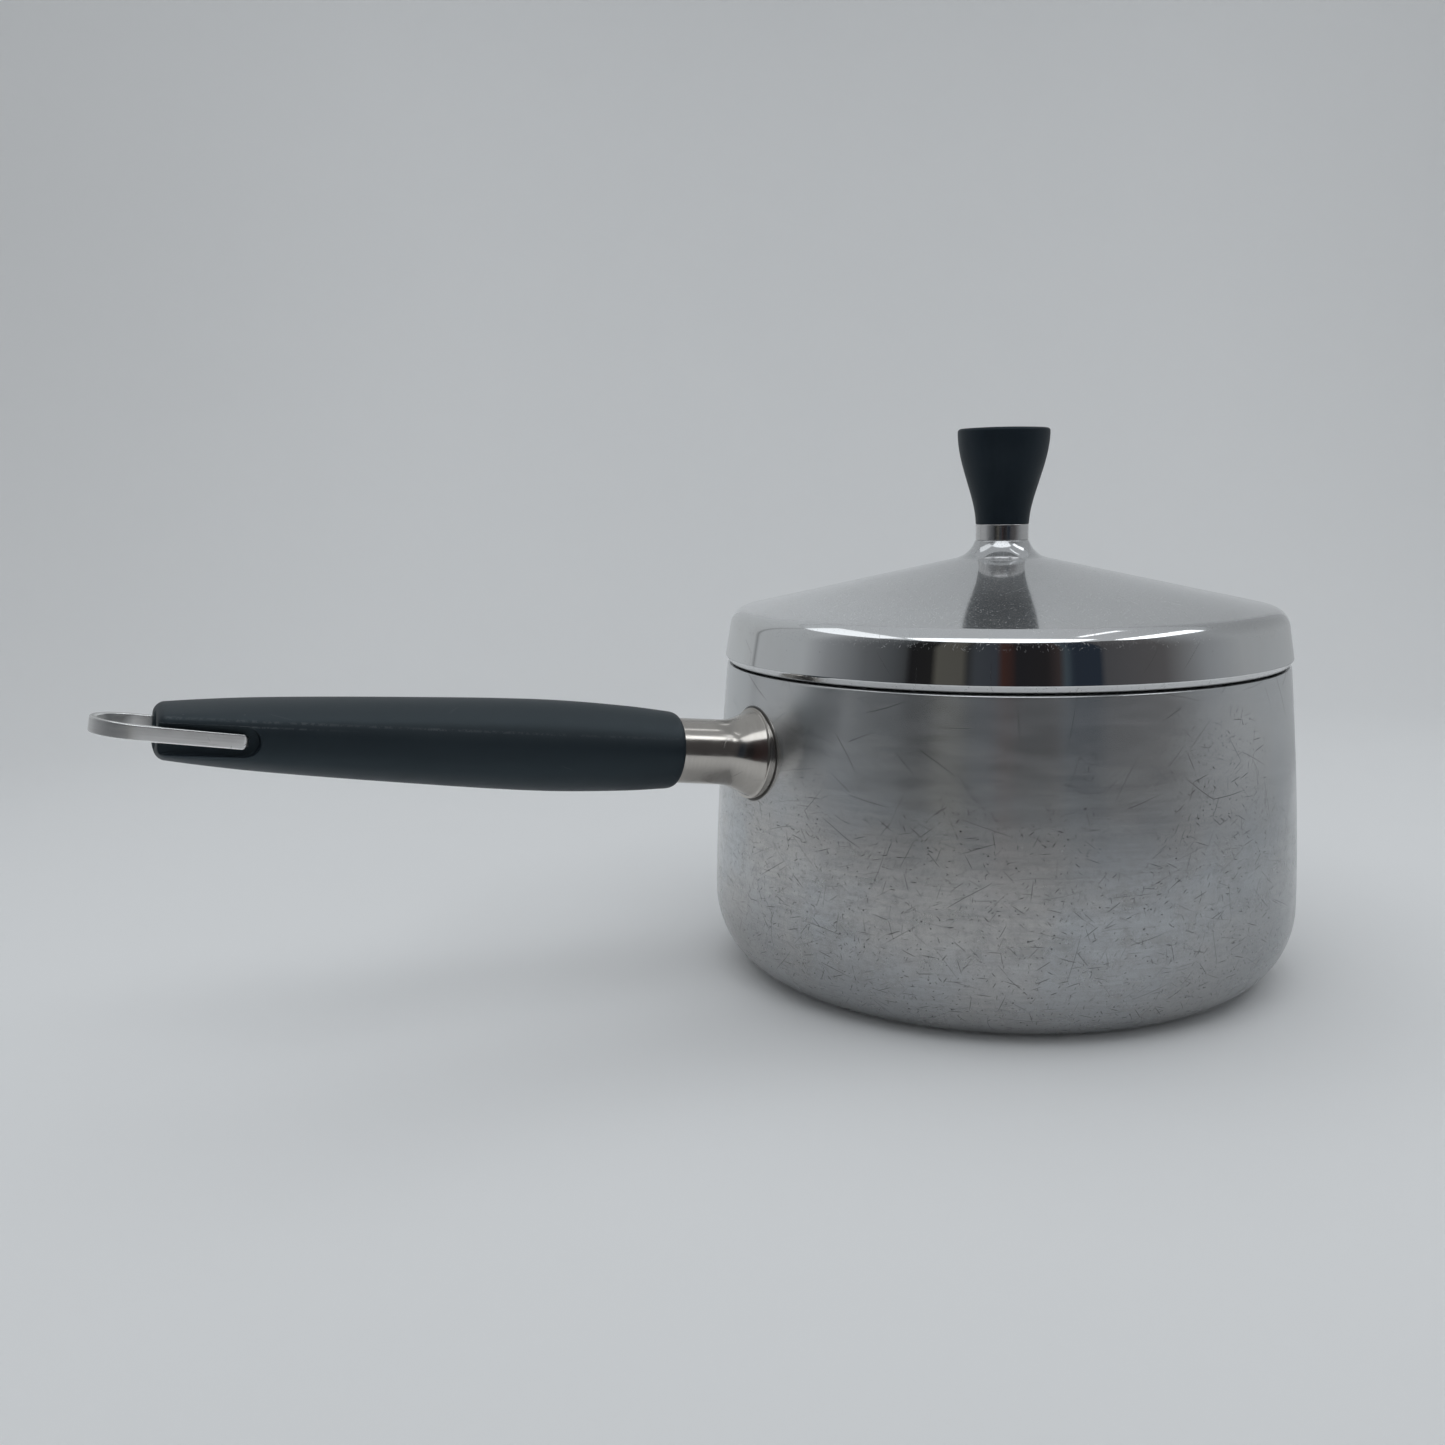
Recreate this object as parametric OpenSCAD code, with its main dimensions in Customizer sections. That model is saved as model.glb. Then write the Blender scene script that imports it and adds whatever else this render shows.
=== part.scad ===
// Saucepan with a domed metal lid and a long insulated handle.
// The origin is the centre of the base on the table, +Z is up and the handle points along -X.
// Handle parts are drawn in the handle's own frame: X up, Y across, Z outwards along its axis.

/* [Pan] */
// Outer radius of the pan at the shoulder, just under the lid
shoulder_r = 88.9; // [80:0.1:96]
// Height of the shoulder ledge above the table
shoulder_z = 99.2; // [90:0.1:115]
// How far the wall bulges past the shoulder radius, near the base
wall_bulge = 4.6; // [1:0.1:8]
// How quickly the bulge comes in as the wall goes down
bulge_power = 1.54; // [1.2:0.01:2]
// Width of the rounded bottom corner
corner_w = 20; // [10:0.5:30]
// Height of the rounded bottom corner
corner_h = 24; // [12:0.5:32]
// Thickness of the side wall
wall_t = 2.6; // [1.5:0.1:3.5]
// Thickness of the base
base_t = 3.2; // [2:0.1:6]
// Outer radius of the neck that stands inside the lid
neck_r = 85.4; // [78:0.1:85.8]
// Height of the neck above the shoulder ledge
neck_h = 14; // [8:0.1:14.1]

/* [Lid] */
// Thickness of the lid's sheet
lid_t = 1.2; // [0.8:0.1:1.4]
// Gap between the lid's edge and the shoulder ledge
lid_gap = 0.75; // [0.5:0.05:3]
// Height of the cone's point, if it went on to the axis
cone_apex_z = 134.8; // [130:0.1:138]
// Fall of the cone for each millimetre outwards
cone_slope = 0.2184; // [0.18:0.001:0.24]
// Radius at which the cone and the skirt would meet
lid_corner_r = 87.3; // [86.8:0.1:88]
// Rounding between the cone and the skirt
lid_corner_round = 6.4; // [5:0.1:7.5]
// Largest radius of the skirt, just above its curled edge
skirt_r = 89.6; // [89:0.1:90.2]
// Height of the seat that the knob stands on
lid_top_z = 137.4; // [137:0.1:139]

/* [Knob] */
// Radius of the collar and of the knob's foot
collar_r = 8.45; // [8:0.05:9]
// Height of the collar
collar_h = 5.1; // [4:0.1:8]
// Largest radius of the knob, at its top
knob_r = 14.55; // [12:0.05:18]
// Height of the knob above the collar
knob_h = 30.5; // [24:0.5:40]
// Radius of the knob screw
knob_screw_r = 2.0; // [1.5:0.1:2.5]

/* [Handle] */
// Height of the handle's axis where it meets the wall
handle_z = 75.7; // [66:0.1:82]
// Upward tilt of the handle in degrees
handle_tilt = 7.2; // [0:0.1:12]
// Distance of the grip's front face from the wall
grip_start = 26.7; // [24:0.1:29]
// Distance of the grip's rear face from the wall
grip_end = 168.8; // [168:0.1:176]
// Radius of the flame guard's tube
guard_r = 9.6; // [9.6:0.05:10.2]
// Radius of the flame guard's flange
flange_r = 13.75; // [13.5:0.05:15]
// Thickness of the flame guard's sheet
guard_t = 0.7; // [0.5:0.1:0.9]
// Radius of the long handle screw
handle_screw_r = 2.4; // [2:0.1:2.6]

/* [Hanging ring] */
// Outer width of the hanging ring
ring_w = 22.8; // [22:0.1:23.4]
// Height of the ring's flat strip
strip_h = 4.0; // [3:0.1:4.4]
// Thickness of the ring's flat strip
strip_t = 1.6; // [1.2:0.1:1.8]
// Distance of the ring's pivots from the wall
ring_pivot_s = 148.5; // [147:0.1:150]
// Distance of the ring's far end from the wall
ring_end_s = 184; // [180:0.1:190]
// Upward tilt of the ring against the grip in degrees
ring_tilt = 3; // [0:0.1:4]

/* [Hidden] */
$fn = 96;

// Angle between the points of a rounded corner
arc_step = 11;
// Overshoot of a cutter past the face that it cuts
cut = 5;

// Pan
flat_r = shoulder_r + wall_bulge - corner_w;
shoulder_w = 0.6;
shoulder_h = 0.8;
neck_t = 2.2;
neck_fillet = 1.0;
rim_z = shoulder_z + neck_h;
wall_steps = 14;
corner_steps = 12;
shoulder_steps = 5;

// Lid
skirt_z = shoulder_z + lid_gap + 1.75;
curl_in = 1.2;
skirt_round = 1.0;
seat_r = 8.5;
seat_round = 0.4;
neck_flare = [10.31, 132.55];
neck_flare_round = 8.4;
screw_clearance = 0.15;

// Knob
knob_foot_z = lid_top_z + collar_h;
knob_top_z = knob_foot_z + knob_h;
collar_edge = 0.25;
knob_edge = 1.0;
knob_dome = 0.4;
flare_power = 0.93;
spigot_r = 6.4;
insert_r = 4;
insert_top_z = lid_top_z + 17;
knob_washer_r = 5;
knob_washer_t = 1.0;
knob_head_r = 3.9;
knob_head_h = 2.4;
knob_thread_h = 15;
slot_w = 1.1;
slot_depth = 1.2;

// Handle
handle_wall_r = wall_r(handle_z);
guard_foot_r = guard_r + 0.15;
flare_s = 8;
flare_round = 16;
flange_s = 1.1;
boss_r = 5.5;
boss_end = 14;
plate_r = 11;
plate_s = 2.2;
rivet_w = 8.2;
rivet_r = 1.5;
rivet_head_r = 2.1;
rivet_head_h = 1.2;
rivet_foot_r = 3;
rivet_foot_s = -4.3;
thread_start = 3.5;
grip_bore_r = handle_screw_r + 0.3;
counterbore_r = 5;
counterbore_s = grip_end - 9.8;
head_r = 4.4;
head_h = 3.2;
washer_t = 1.1;

// Stations along the grip, as fractions of its length:
// [fraction, half width of the crown's ellipse, half height, half width of the flat sides]
grip_stations = [[0.00, 11.2, 11.2, 12.4],
                 [0.10, 12.25, 12.25, 12.4],
                 [0.25, 13.05, 12.9, 12.4],
                 [0.38, 13.2, 12.6, 12.3],
                 [0.52, 13.3, 11.8, 12.2],
                 [0.69, 13.3, 10.65, 12.1],
                 [0.835, 13.4, 9.4, 11.9],
                 [0.93, 14.0, 8.15, 11.4],
                 [1.00, 14.9, 6.95, 11.0]];
// Sharpness of the ridge between the crown and the flat sides
ridge_power = 16;
grip_sides = 40;
grip_rings = 24;
grip_front_round = [2.2, 0.8];
grip_rear_round = [2.3, 2.3];
round_steps = 4;
recess_r = 3.9;
recess_gap = 0.3;
pivot_h = -0.65;
pin_r = 1.1;
pin_l = 4.3;
pin_clearance = 0.05;

// ---- Outlines ----

function unit(v) = v / norm(v);

// Radius of the pan's outer wall at a height above the bottom corner
function wall_r(z) =
    let (t = (shoulder_z - z) / (shoulder_z - corner_h))
    shoulder_r + wall_bulge * (1 - pow(1 - t, bulge_power));

// Points of the arc that rounds corner b of the path a-b-c
function corner_arc(a, b, c, r) =
    let (p = [b[0], b[1]],
         u = unit([a[0], a[1]] - p),
         v = unit([c[0], c[1]] - p),
         half = acos(u * v) / 2,
         centre = p + unit(u + v) * r / sin(half),
         from = p + u * r / tan(half) - centre,
         to = p + v * r / tan(half) - centre,
         a0 = atan2(from[1], from[0]),
         swing = atan2(to[1], to[0]) - a0,
         turn = swing > 180 ? swing - 360 : swing < -180 ? swing + 360 : swing,
         steps = max(2, ceil(abs(turn) / arc_step)))
    [for (i = [0:steps]) centre + r * [cos(a0 + turn * i / steps), sin(a0 + turn * i / steps)]];

// A path of [x, y, rounding] corners as plain points
function rounded(path) =
    [for (i = [0:len(path) - 1])
        each (i == 0 || i == len(path) - 1 || path[i][2] <= 0)
            ? [[path[i][0], path[i][1]]]
            : corner_arc(path[i - 1], path[i], path[i + 1], path[i][2])];

function right_of(a, b) =
    let (d = unit([b[0] - a[0], b[1] - a[1]]))
    [d[1], -d[0]];

// The same path moved by t to its right, with its roundings kept concentric
function inset(path, t) =
    let (last = len(path) - 1)
    [for (i = [0:last])
        let (n1 = right_of(path[max(i - 1, 0)], path[max(i, 1)]),
             n2 = right_of(path[min(i, last - 1)], path[min(i + 1, last)]),
             shift = (n1 + n2) * t / (1 + n1 * n2),
             grow = cross(n1, n2) > 0 ? t : -t)
        [path[i][0] + shift[0], path[i][1] + shift[1],
         path[i][2] <= 0 ? 0 : max(0.1, path[i][2] + grow)]];

function reversed(points) = [for (i = [len(points) - 1:-1:0]) points[i]];

// Sheet of thickness t on the right of a path
module sheet_outline(path, t) {
    polygon(concat(rounded(path), reversed(rounded(inset(path, t)))));
}

// ---- Pan ----

// Outside of the pan from the centre of the base to the shoulder ledge
function pan_outside() = concat(
    [[0, 0]],
    [for (i = [0:corner_steps])
        let (a = -90 + 90 * i / corner_steps)
        [flat_r + corner_w * cos(a), corner_h + corner_h * sin(a)]],
    [for (i = [1:wall_steps])
        let (z = corner_h + (shoulder_z - shoulder_h - corner_h) * i / wall_steps)
        [wall_r(z), z]],
    [for (i = [1:shoulder_steps])
        let (a = 90 * i / shoulder_steps)
        [wall_r(shoulder_z - shoulder_h) - shoulder_w * (1 - cos(a)),
         shoulder_z - shoulder_h * (1 - sin(a))]]);

// Inside of the pan from the neck down to the centre of the base
function pan_inside() = concat(
    [[neck_r - neck_t, shoulder_z - wall_t]],
    [for (i = [wall_steps - 1:-1:1])
        let (z = corner_h + (shoulder_z - shoulder_h - corner_h) * i / wall_steps)
        [wall_r(z) - wall_t, z]],
    [for (i = [corner_steps:-1:0])
        let (a = -90 + 90 * i / corner_steps)
        [flat_r + (corner_w - wall_t) * cos(a), corner_h + (corner_h - base_t) * sin(a)]],
    [[0, base_t]]);

// Neck with a round rim, from the ledge up and over to the inside
function pan_neck() = concat(
    [for (i = [0:3])
        let (a = -90 - 30 * i)
        [neck_r + neck_fillet * (1 + cos(a)), shoulder_z + neck_fillet * (1 + sin(a))]],
    [for (i = [0:8])
        let (a = 22.5 * i)
        [neck_r - neck_t / 2 * (1 - cos(a)), rim_z - neck_t / 2 * (1 - sin(a))]]);

module pan_body_solid() {
    rotate_extrude($fn = 180) polygon(concat(pan_outside(), [[0, shoulder_z]]));
}

module pan_cavity_solid() {
    rotate_extrude($fn = 180) polygon(concat(pan_inside(), [[0, shoulder_z - wall_t]]));
}

module pan_shell() {
    color("silver")
    difference() {
        rotate_extrude($fn = 180) polygon(concat(pan_outside(), pan_neck(), pan_inside()));
        in_handle_frame() rivet_shanks(rivet_foot_s - cut, cut);
    }
}

// ---- Handle ----

// Handle frame: Z runs outwards along the axis from the wall, X points up
module in_handle_frame() {
    translate([-handle_wall_r, 0, handle_z])
        rotate([0, -(90 - handle_tilt), 0])
            children();
}

// A rod of radius r along the handle's axis, from s0 to s1
module rod(r, s0, s1) {
    translate([0, 0, s0]) cylinder(r = r, h = s1 - s0);
}

module rivet_shanks(s0, s1) {
    for (side = [-1, 1])
        translate([0, side * rivet_w, 0]) rod(rivet_r, s0, s1);
}

// Plate that hugs the wall, with the threaded boss that takes the handle screw
module handle_bracket() {
    color("gray")
    difference() {
        in_handle_frame() {
            difference() {
                union() {
                    rod(plate_r, -cut, plate_s);
                    rod(boss_r, 0, boss_end);
                }
                rod(handle_screw_r, plate_s, boss_end + cut);
                rivet_shanks(-cut - 1, plate_s + 1);
            }
        }
        pan_body_solid();
    }
}

module bracket_rivets() {
    color("gainsboro") {
        in_handle_frame() {
            rivet_shanks(-1.5, plate_s);
            for (side = [-1, 1])
                translate([0, side * rivet_w, 0])
                    rod(rivet_head_r, plate_s, plate_s + rivet_head_h);
        }
        intersection() {
            in_handle_frame()
                for (side = [-1, 1])
                    translate([0, side * rivet_w, 0]) rod(rivet_foot_r, rivet_foot_s, 0);
            pan_cavity_solid();
        }
        in_handle_frame() rivet_shanks(rivet_foot_s + 0.5, -1.5);
    }
}

module flame_guard() {
    path = [[guard_r, grip_start, 0],
            [guard_foot_r, flare_s, flare_round],
            [flange_r - 0.75, flange_s + 0.2, 0.4],
            [flange_r, flange_s, 0.3],
            [flange_r, -cut / 2, 0]];
    color("darkgray")
    difference() {
        in_handle_frame() rotate_extrude() sheet_outline(path, guard_t);
        pan_body_solid();
    }
}

// ---- Grip ----

// Smooth value through the stations at fraction t, as [crown, half height, flat]
function grip_size(t) =
    let (last = len(grip_stations) - 1,
         i = max([for (k = [0:last - 1]) if (grip_stations[k][0] <= t) k]),
         p0 = grip_stations[max(i - 1, 0)],
         p1 = grip_stations[i],
         p2 = grip_stations[i + 1],
         p3 = grip_stations[min(i + 2, last)],
         span = p2[0] - p1[0],
         u = (t - p1[0]) / span)
    [for (k = [1:3])
        let (m1 = (p2[k] - p0[k]) / (p2[0] - p0[0]) * span,
             m2 = (p3[k] - p1[k]) / (p3[0] - p1[0]) * span)
        p1[k] * (2 * pow(u, 3) - 3 * pow(u, 2) + 1) + m1 * (pow(u, 3) - 2 * pow(u, 2) + u)
        + p2[k] * (3 * pow(u, 2) - 2 * pow(u, 3)) + m2 * (pow(u, 3) - pow(u, 2))];

// Crowned ellipse cut by flat sides, with a soft ridge where they meet
function grip_ring(s, pull_in) =
    let (size = grip_size((s - grip_start) / (grip_end - grip_start)),
         crown = size[0] - pull_in,
         high = size[1] - pull_in,
         flat = size[2] - pull_in)
    [for (i = [0:grip_sides - 1])
        let (a = 360 * i / grip_sides,
             oval = sqrt(pow(cos(a) / crown, 2) + pow(sin(a) / high, 2)),
             side = abs(cos(a)) / flat,
             r = pow(pow(oval, ridge_power) + pow(side, ridge_power), -1 / ridge_power))
        [r * sin(a), r * cos(a), s]];

// Quarter ellipse of rounding at an end: how far the outline is pulled in at x from the face
function pulled(round, x) = round[1] * (1 - sqrt(1 - pow(1 - x / round[0], 2)));

function grip_rings_list() =
    let (body_start = grip_start + grip_front_round[0],
         body_end = grip_end - grip_rear_round[0])
    concat(
        [for (i = [0:round_steps - 1])
            let (x = grip_front_round[0] * (1 - cos(90 * i / round_steps)))
            grip_ring(grip_start + x, pulled(grip_front_round, x))],
        [for (i = [0:grip_rings])
            grip_ring(body_start + (body_end - body_start) * i / grip_rings, 0)],
        [for (i = [round_steps - 1:-1:0])
            let (x = grip_rear_round[0] * (1 - cos(90 * i / round_steps)))
            grip_ring(grip_end - x, pulled(grip_rear_round, x))]);

// Closed skin over a list of rings that all have the same number of points,
// with a fan from the axis over each end
module skin(rings) {
    n = len(rings[0]);
    last = len(rings) - 1;
    front_centre = len(rings) * n;
    rear_centre = front_centre + 1;
    polyhedron(
        points = concat([for (ring = rings) each ring],
                        [[0, 0, rings[0][0][2]], [0, 0, rings[last][0][2]]]),
        faces = concat(
            [for (i = [0:n - 1]) [front_centre, (i + 1) % n, i]],
            [for (k = [0:last - 1], i = [0:n - 1])
                [k * n + i, (k + 1) * n + (i + 1) % n, (k + 1) * n + i]],
            [for (k = [0:last - 1], i = [0:n - 1])
                [k * n + i, k * n + (i + 1) % n, (k + 1) * n + (i + 1) % n]],
            [for (i = [0:n - 1]) [rear_centre, last * n + i, last * n + (i + 1) % n]]));
}

// Side recess that is open to the rear, with the blind hole for the ring's pivot in its floor
module ring_recess(side) {
    floor_w = ring_w / 2 - strip_t - recess_gap;
    open_l = grip_end - ring_pivot_s + cut;
    translate([pivot_h, 0, ring_pivot_s])
        rotate([-90 * side, 0, 0]) {
            translate([0, 0, floor_w]) linear_extrude(cut) {
                circle(r = recess_r);
                translate([-recess_r, side > 0 ? -open_l : 0]) square([2 * recess_r, open_l]);
            }
            translate([0, 0, floor_w - pin_l])
                cylinder(r = pin_r + pin_clearance, h = pin_l + 1);
        }
}

module handle_grip() {
    color([0.12, 0.13, 0.15])
    in_handle_frame()
        difference() {
            union() {
                skin(grip_rings_list());
                rod(guard_r - guard_t, boss_end, grip_start + cut);
            }
            rod(grip_bore_r, boss_end - 1, grip_end);
            rod(counterbore_r, counterbore_s, grip_end + cut);
            ring_recess(-1);
            ring_recess(1);
        }
}

module handle_screw() {
    head_s = counterbore_s + washer_t;
    color("lightgray")
    in_handle_frame()
        difference() {
            union() {
                rod(handle_screw_r, thread_start, head_s + 1);
                rod(head_r, head_s, head_s + head_h);
            }
            translate([-slot_w / 2, -head_r - 1, head_s + head_h - slot_depth])
                cube([slot_w, 2 * head_r + 2, slot_depth + 1]);
        }
}

// Ring washer along Z, from z0, with hole r0
module washer(r0, r1, z0, t) {
    difference() {
        translate([0, 0, z0]) cylinder(r = r1, h = t);
        translate([0, 0, z0 - 1]) cylinder(r = r0, h = t + 2);
    }
}

module handle_washer() {
    color("lightgray")
    in_handle_frame() washer(grip_bore_r, head_r, counterbore_s, washer_t);
}

// ---- Hanging ring ----

// The strip seen from above, with x along the handle and y across it
module ring_outline() {
    r_out = ring_w / 2;
    r_in = r_out - strip_t;
    bend_x = strip_t / 4;
    bow_x = ring_end_s - ring_pivot_s - r_out;
    difference() {
        union() {
            translate([bow_x, 0]) circle(r = r_out);
            translate([bend_x, -r_out]) square([bow_x - bend_x, ring_w]);
        }
        translate([bow_x, 0]) circle(r = r_in);
        translate([-cut, -r_in]) square([bow_x + cut, 2 * r_in]);
    }
    // Outer corners where the ends turn in to become the pivots
    for (side = [-1, 1])
        intersection() {
            translate([bend_x, side * r_in]) circle(r = strip_t);
            translate([bend_x - strip_t, side > 0 ? r_in : -r_out]) square(strip_t);
        }
}

module hanging_ring() {
    r_in = ring_w / 2 - strip_t;
    color("silver")
    in_handle_frame()
        translate([pivot_h, 0, ring_pivot_s])
            rotate([0, ring_tilt, 0]) {
                rotate([0, -90, 0]) linear_extrude(strip_h, center = true) ring_outline();
                for (side = [-1, 1])
                    rotate([-90 * side, 0, 0])
                        translate([0, 0, r_in - pin_l + recess_gap])
                            cylinder(r = pin_r, h = pin_l - recess_gap + strip_t / 4);
            }
}

// ---- Lid ----

// Outside of the lid from the screw hole out to the curled edge
lid_path = [[knob_screw_r + screw_clearance, lid_top_z, 0],
            [seat_r, lid_top_z, seat_round],
            [neck_flare[0], neck_flare[1], neck_flare_round],
            [lid_corner_r, cone_apex_z - cone_slope * lid_corner_r, lid_corner_round],
            [skirt_r, skirt_z, skirt_round],
            [skirt_r - curl_in, shoulder_z + lid_gap, 0]];

module lid_shell() {
    color("whitesmoke") rotate_extrude($fn = 180) sheet_outline(lid_path, lid_t);
}

module knob_washer() {
    color("lightgray")
    washer(knob_screw_r + screw_clearance, knob_washer_r,
           lid_top_z - lid_t - knob_washer_t, knob_washer_t);
}

module knob_screw() {
    seat_z = lid_top_z - lid_t - knob_washer_t;
    color("lightgray")
    difference() {
        union() {
            translate([0, 0, seat_z - knob_head_h]) cylinder(r = knob_head_r, h = knob_head_h);
            translate([0, 0, seat_z - 1])
                cylinder(r = knob_screw_r, h = lid_top_z + knob_thread_h - seat_z + 1);
        }
        translate([-knob_head_r - 1, -slot_w / 2, seat_z - knob_head_h - 1])
            cube([2 * knob_head_r + 2, slot_w, slot_depth + 1]);
    }
}

module knob_collar() {
    color("lightsteelblue")
    rotate_extrude()
        polygon([[spigot_r, lid_top_z], [collar_r - collar_edge, lid_top_z],
                 [collar_r, lid_top_z + collar_edge], [collar_r, knob_foot_z - collar_edge],
                 [collar_r - collar_edge, knob_foot_z], [spigot_r, knob_foot_z]]);
}

module knob_insert() {
    color("goldenrod") washer(knob_screw_r, insert_r, lid_top_z, insert_top_z - lid_top_z);
}

// Radius of the knob at fraction t of its height: an S-curve from foot to top
function knob_side(t) =
    let (u = pow(t, flare_power))
    collar_r + (knob_r - collar_r) * (3 * u * u - 2 * u * u * u);

module lid_knob() {
    side_steps = 16;
    edge_steps = 4;
    side_h = knob_h - knob_edge - knob_dome;
    color([0.11, 0.13, 0.15])
    rotate_extrude()
        polygon(concat(
            [[insert_r, lid_top_z], [spigot_r, lid_top_z], [spigot_r, knob_foot_z]],
            [for (i = [0:side_steps])
                [knob_side(i / side_steps), knob_foot_z + side_h * i / side_steps]],
            [for (i = [1:edge_steps])
                let (a = 90 * i / edge_steps)
                [knob_r - knob_edge * (1 - cos(a)), knob_foot_z + side_h + knob_edge * sin(a)]],
            [[knob_r / 2, knob_top_z - knob_dome / 4], [0, knob_top_z],
             [0, insert_top_z], [insert_r, insert_top_z]]));
}

pan_shell();
handle_bracket();
bracket_rivets();
flame_guard();
handle_grip();
handle_screw();
handle_washer();
hanging_ring();
lid_shell();
knob_washer();
knob_screw();
knob_collar();
knob_insert();
lid_knob();
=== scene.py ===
"""A saucepan with a domed metal lid: smooth metal shells, worn finishes, studio and camera.

Outlines are in millimetres, as in the CAD, and become metres when a mesh is made.
Handle parts are drawn in the handle's own frame: X up, Y across, Z outwards along its axis.
"""
import math

import bmesh
import bpy
from mathutils import Matrix, Vector


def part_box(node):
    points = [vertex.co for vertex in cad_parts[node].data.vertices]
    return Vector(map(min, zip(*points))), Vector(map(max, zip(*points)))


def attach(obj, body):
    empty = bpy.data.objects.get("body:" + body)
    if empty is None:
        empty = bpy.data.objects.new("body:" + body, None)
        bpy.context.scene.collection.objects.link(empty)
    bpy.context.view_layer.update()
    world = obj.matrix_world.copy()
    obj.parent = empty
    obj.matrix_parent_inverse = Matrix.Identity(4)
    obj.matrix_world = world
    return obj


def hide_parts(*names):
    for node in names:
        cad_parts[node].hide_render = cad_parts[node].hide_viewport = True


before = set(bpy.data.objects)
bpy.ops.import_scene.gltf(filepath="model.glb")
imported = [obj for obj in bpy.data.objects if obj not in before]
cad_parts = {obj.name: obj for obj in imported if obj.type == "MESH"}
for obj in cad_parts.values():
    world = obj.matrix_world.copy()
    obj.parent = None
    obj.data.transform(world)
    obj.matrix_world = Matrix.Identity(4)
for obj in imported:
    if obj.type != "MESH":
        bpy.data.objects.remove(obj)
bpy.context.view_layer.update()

MM = 0.001
# Overshoot of a cutter past the face that it cuts, in millimetres
CUT = 5
UP = Vector((0, 0, 1))
# Level directions in the photo's view
# Painted shade on the pan, the lid and the paper is laid out along these
PICTURE_RIGHT = Vector((0.90, -0.43, 0))
PICTURE_NEAR = Vector((-0.43, -0.90, 0))


def bottom_of(node):
    """Height of a node's lowest point, in millimetres."""
    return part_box(node)[0].z / MM


def top_of(node):
    """Height of a node's highest point, in millimetres."""
    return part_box(node)[1].z / MM


def reach_of(node):
    """Half of a round node's width across the handle, in millimetres."""
    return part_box(node)[1].y / MM


# ---- Sizes, in millimetres ----

# Pan
WALL_REACH = reach_of("pan_shell")
RIM_Z = top_of("pan_shell")
NECK_H = 14
SHOULDER_Z = RIM_Z - NECK_H
SHOULDER_R = 88.9
WALL_BULGE = WALL_REACH - SHOULDER_R
BULGE_POWER = 1.54
CORNER_W, CORNER_H = 20, 24
WALL_T, BASE_T, NECK_T = 2.6, 3.2, 2.2
STEP_H, STEP_ROUND = 4, 0.8
NECK_R = 85.4
SHOULDER_W, SHOULDER_H = 0.6, 0.8
NECK_FILLET = 1.0
FLAT_R = WALL_REACH - CORNER_W
WALL_STEPS = 36

# Lid
LID_T = 1.2
LID_TOP_Z = bottom_of("knob_collar")
SKIRT_R = 89.6
LID_EDGE_Z = bottom_of("lid_shell")
CONE_APEX_Z, CONE_SLOPE = 134.8, 0.2184
LID_CORNER_R, LID_CORNER_ROUND = 87.3, 6.4
LID_HOLE_R = 2.15
SEAT_R, SEAT_ROUND = 8.5, 0.4
FLARE_R, FLARE_Z, FLARE_ROUND = 10.31, 132.55, 8.4
SKIRT_BEND_H, SKIRT_BEND_ROUND, CURL_IN = 1.75, 1.0, 1.2

# Knob
COLLAR_R = reach_of("knob_collar")
COLLAR_EDGE = 0.25
FOOT_Z = top_of("knob_collar")
KNOB_R = reach_of("lid_knob")
KNOB_TOP_Z = top_of("lid_knob")
KNOB_EDGE, KNOB_DOME, FLARE_POWER = 1.0, 0.4, 0.93
SPIGOT_R, INSERT_R = 6.4, 4
INSERT_TOP_Z = top_of("knob_insert")
KNOB_SIDE_STEPS = 48
FOOT_LIP_W, FOOT_LIP_H = 0.2, 0.15
KNOB_SCREW_R, KNOB_HEAD_R, KNOB_HEAD_H = 2.0, 3.9, 2.4
KNOB_WASHER_R, KNOB_WASHER_T = 5, 1.0

# Handle
TILT = math.radians(7.2)
HANDLE_Z = 75.7
GUARD_R, GUARD_T, FLANGE_R = 9.6, 0.7, 13.75
GUARD_FLARE_S, GUARD_FLARE_ROUND = 8, 16
GUARD_FOOT_R = GUARD_R + 0.15
FLANGE_S, FLANGE_ROUND = 1.1, 0.3
FLANGE_SINK = 0.05
GRIP_START, GRIP_END = 26.7, 168.8
SPIGOT_START, HANDLE_SPIGOT_R = 14, 8.9
RIVET_W, RIVET_R, RIVET_HEAD_R, RIVET_FOOT_R = 8.2, 1.5, 2.1, 3
RIVET_FOOT_S, RIVET_INNER_S, RIVET_SEAT_S, RIVET_HEAD_H = -4.3, -2.2, 2.2, 1.2
COUNTERBORE_R, COUNTERBORE_S, BORE_R = 5, 159, 2.7
MOUTH_FLARE = 0.5
HEAD_R, HEAD_H, WASHER_T = 4.4, 3.2, 1.1
SCREW_R, SCREW_START = 2.4, 3.5
SLOT_W, SLOT_DEPTH = 1.1, 1.2

# Fraction of the grip's length, half width of its crown, half height, half width of its flat sides
GRIP_STATIONS = (
    (0.00, 11.2, 11.2, 12.4),
    (0.10, 12.25, 12.25, 12.4),
    (0.25, 13.05, 12.9, 12.4),
    (0.38, 13.2, 12.6, 12.3),
    (0.52, 13.3, 11.8, 12.2),
    (0.69, 13.3, 10.65, 12.1),
    (0.835, 13.4, 9.4, 11.9),
    (0.93, 14.0, 8.15, 11.4),
    (1.00, 14.9, 6.95, 11.0))
RIDGE_POWER = 16
FRONT_ROUND, REAR_ROUND = (2.2, 0.8), (2.3, 2.3)
GRIP_SIDES, GRIP_STEPS = 128, 120
RECESS_R, RECESS_GAP, RECESS_SOFT = 3.9, 0.3, 0.4

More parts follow.
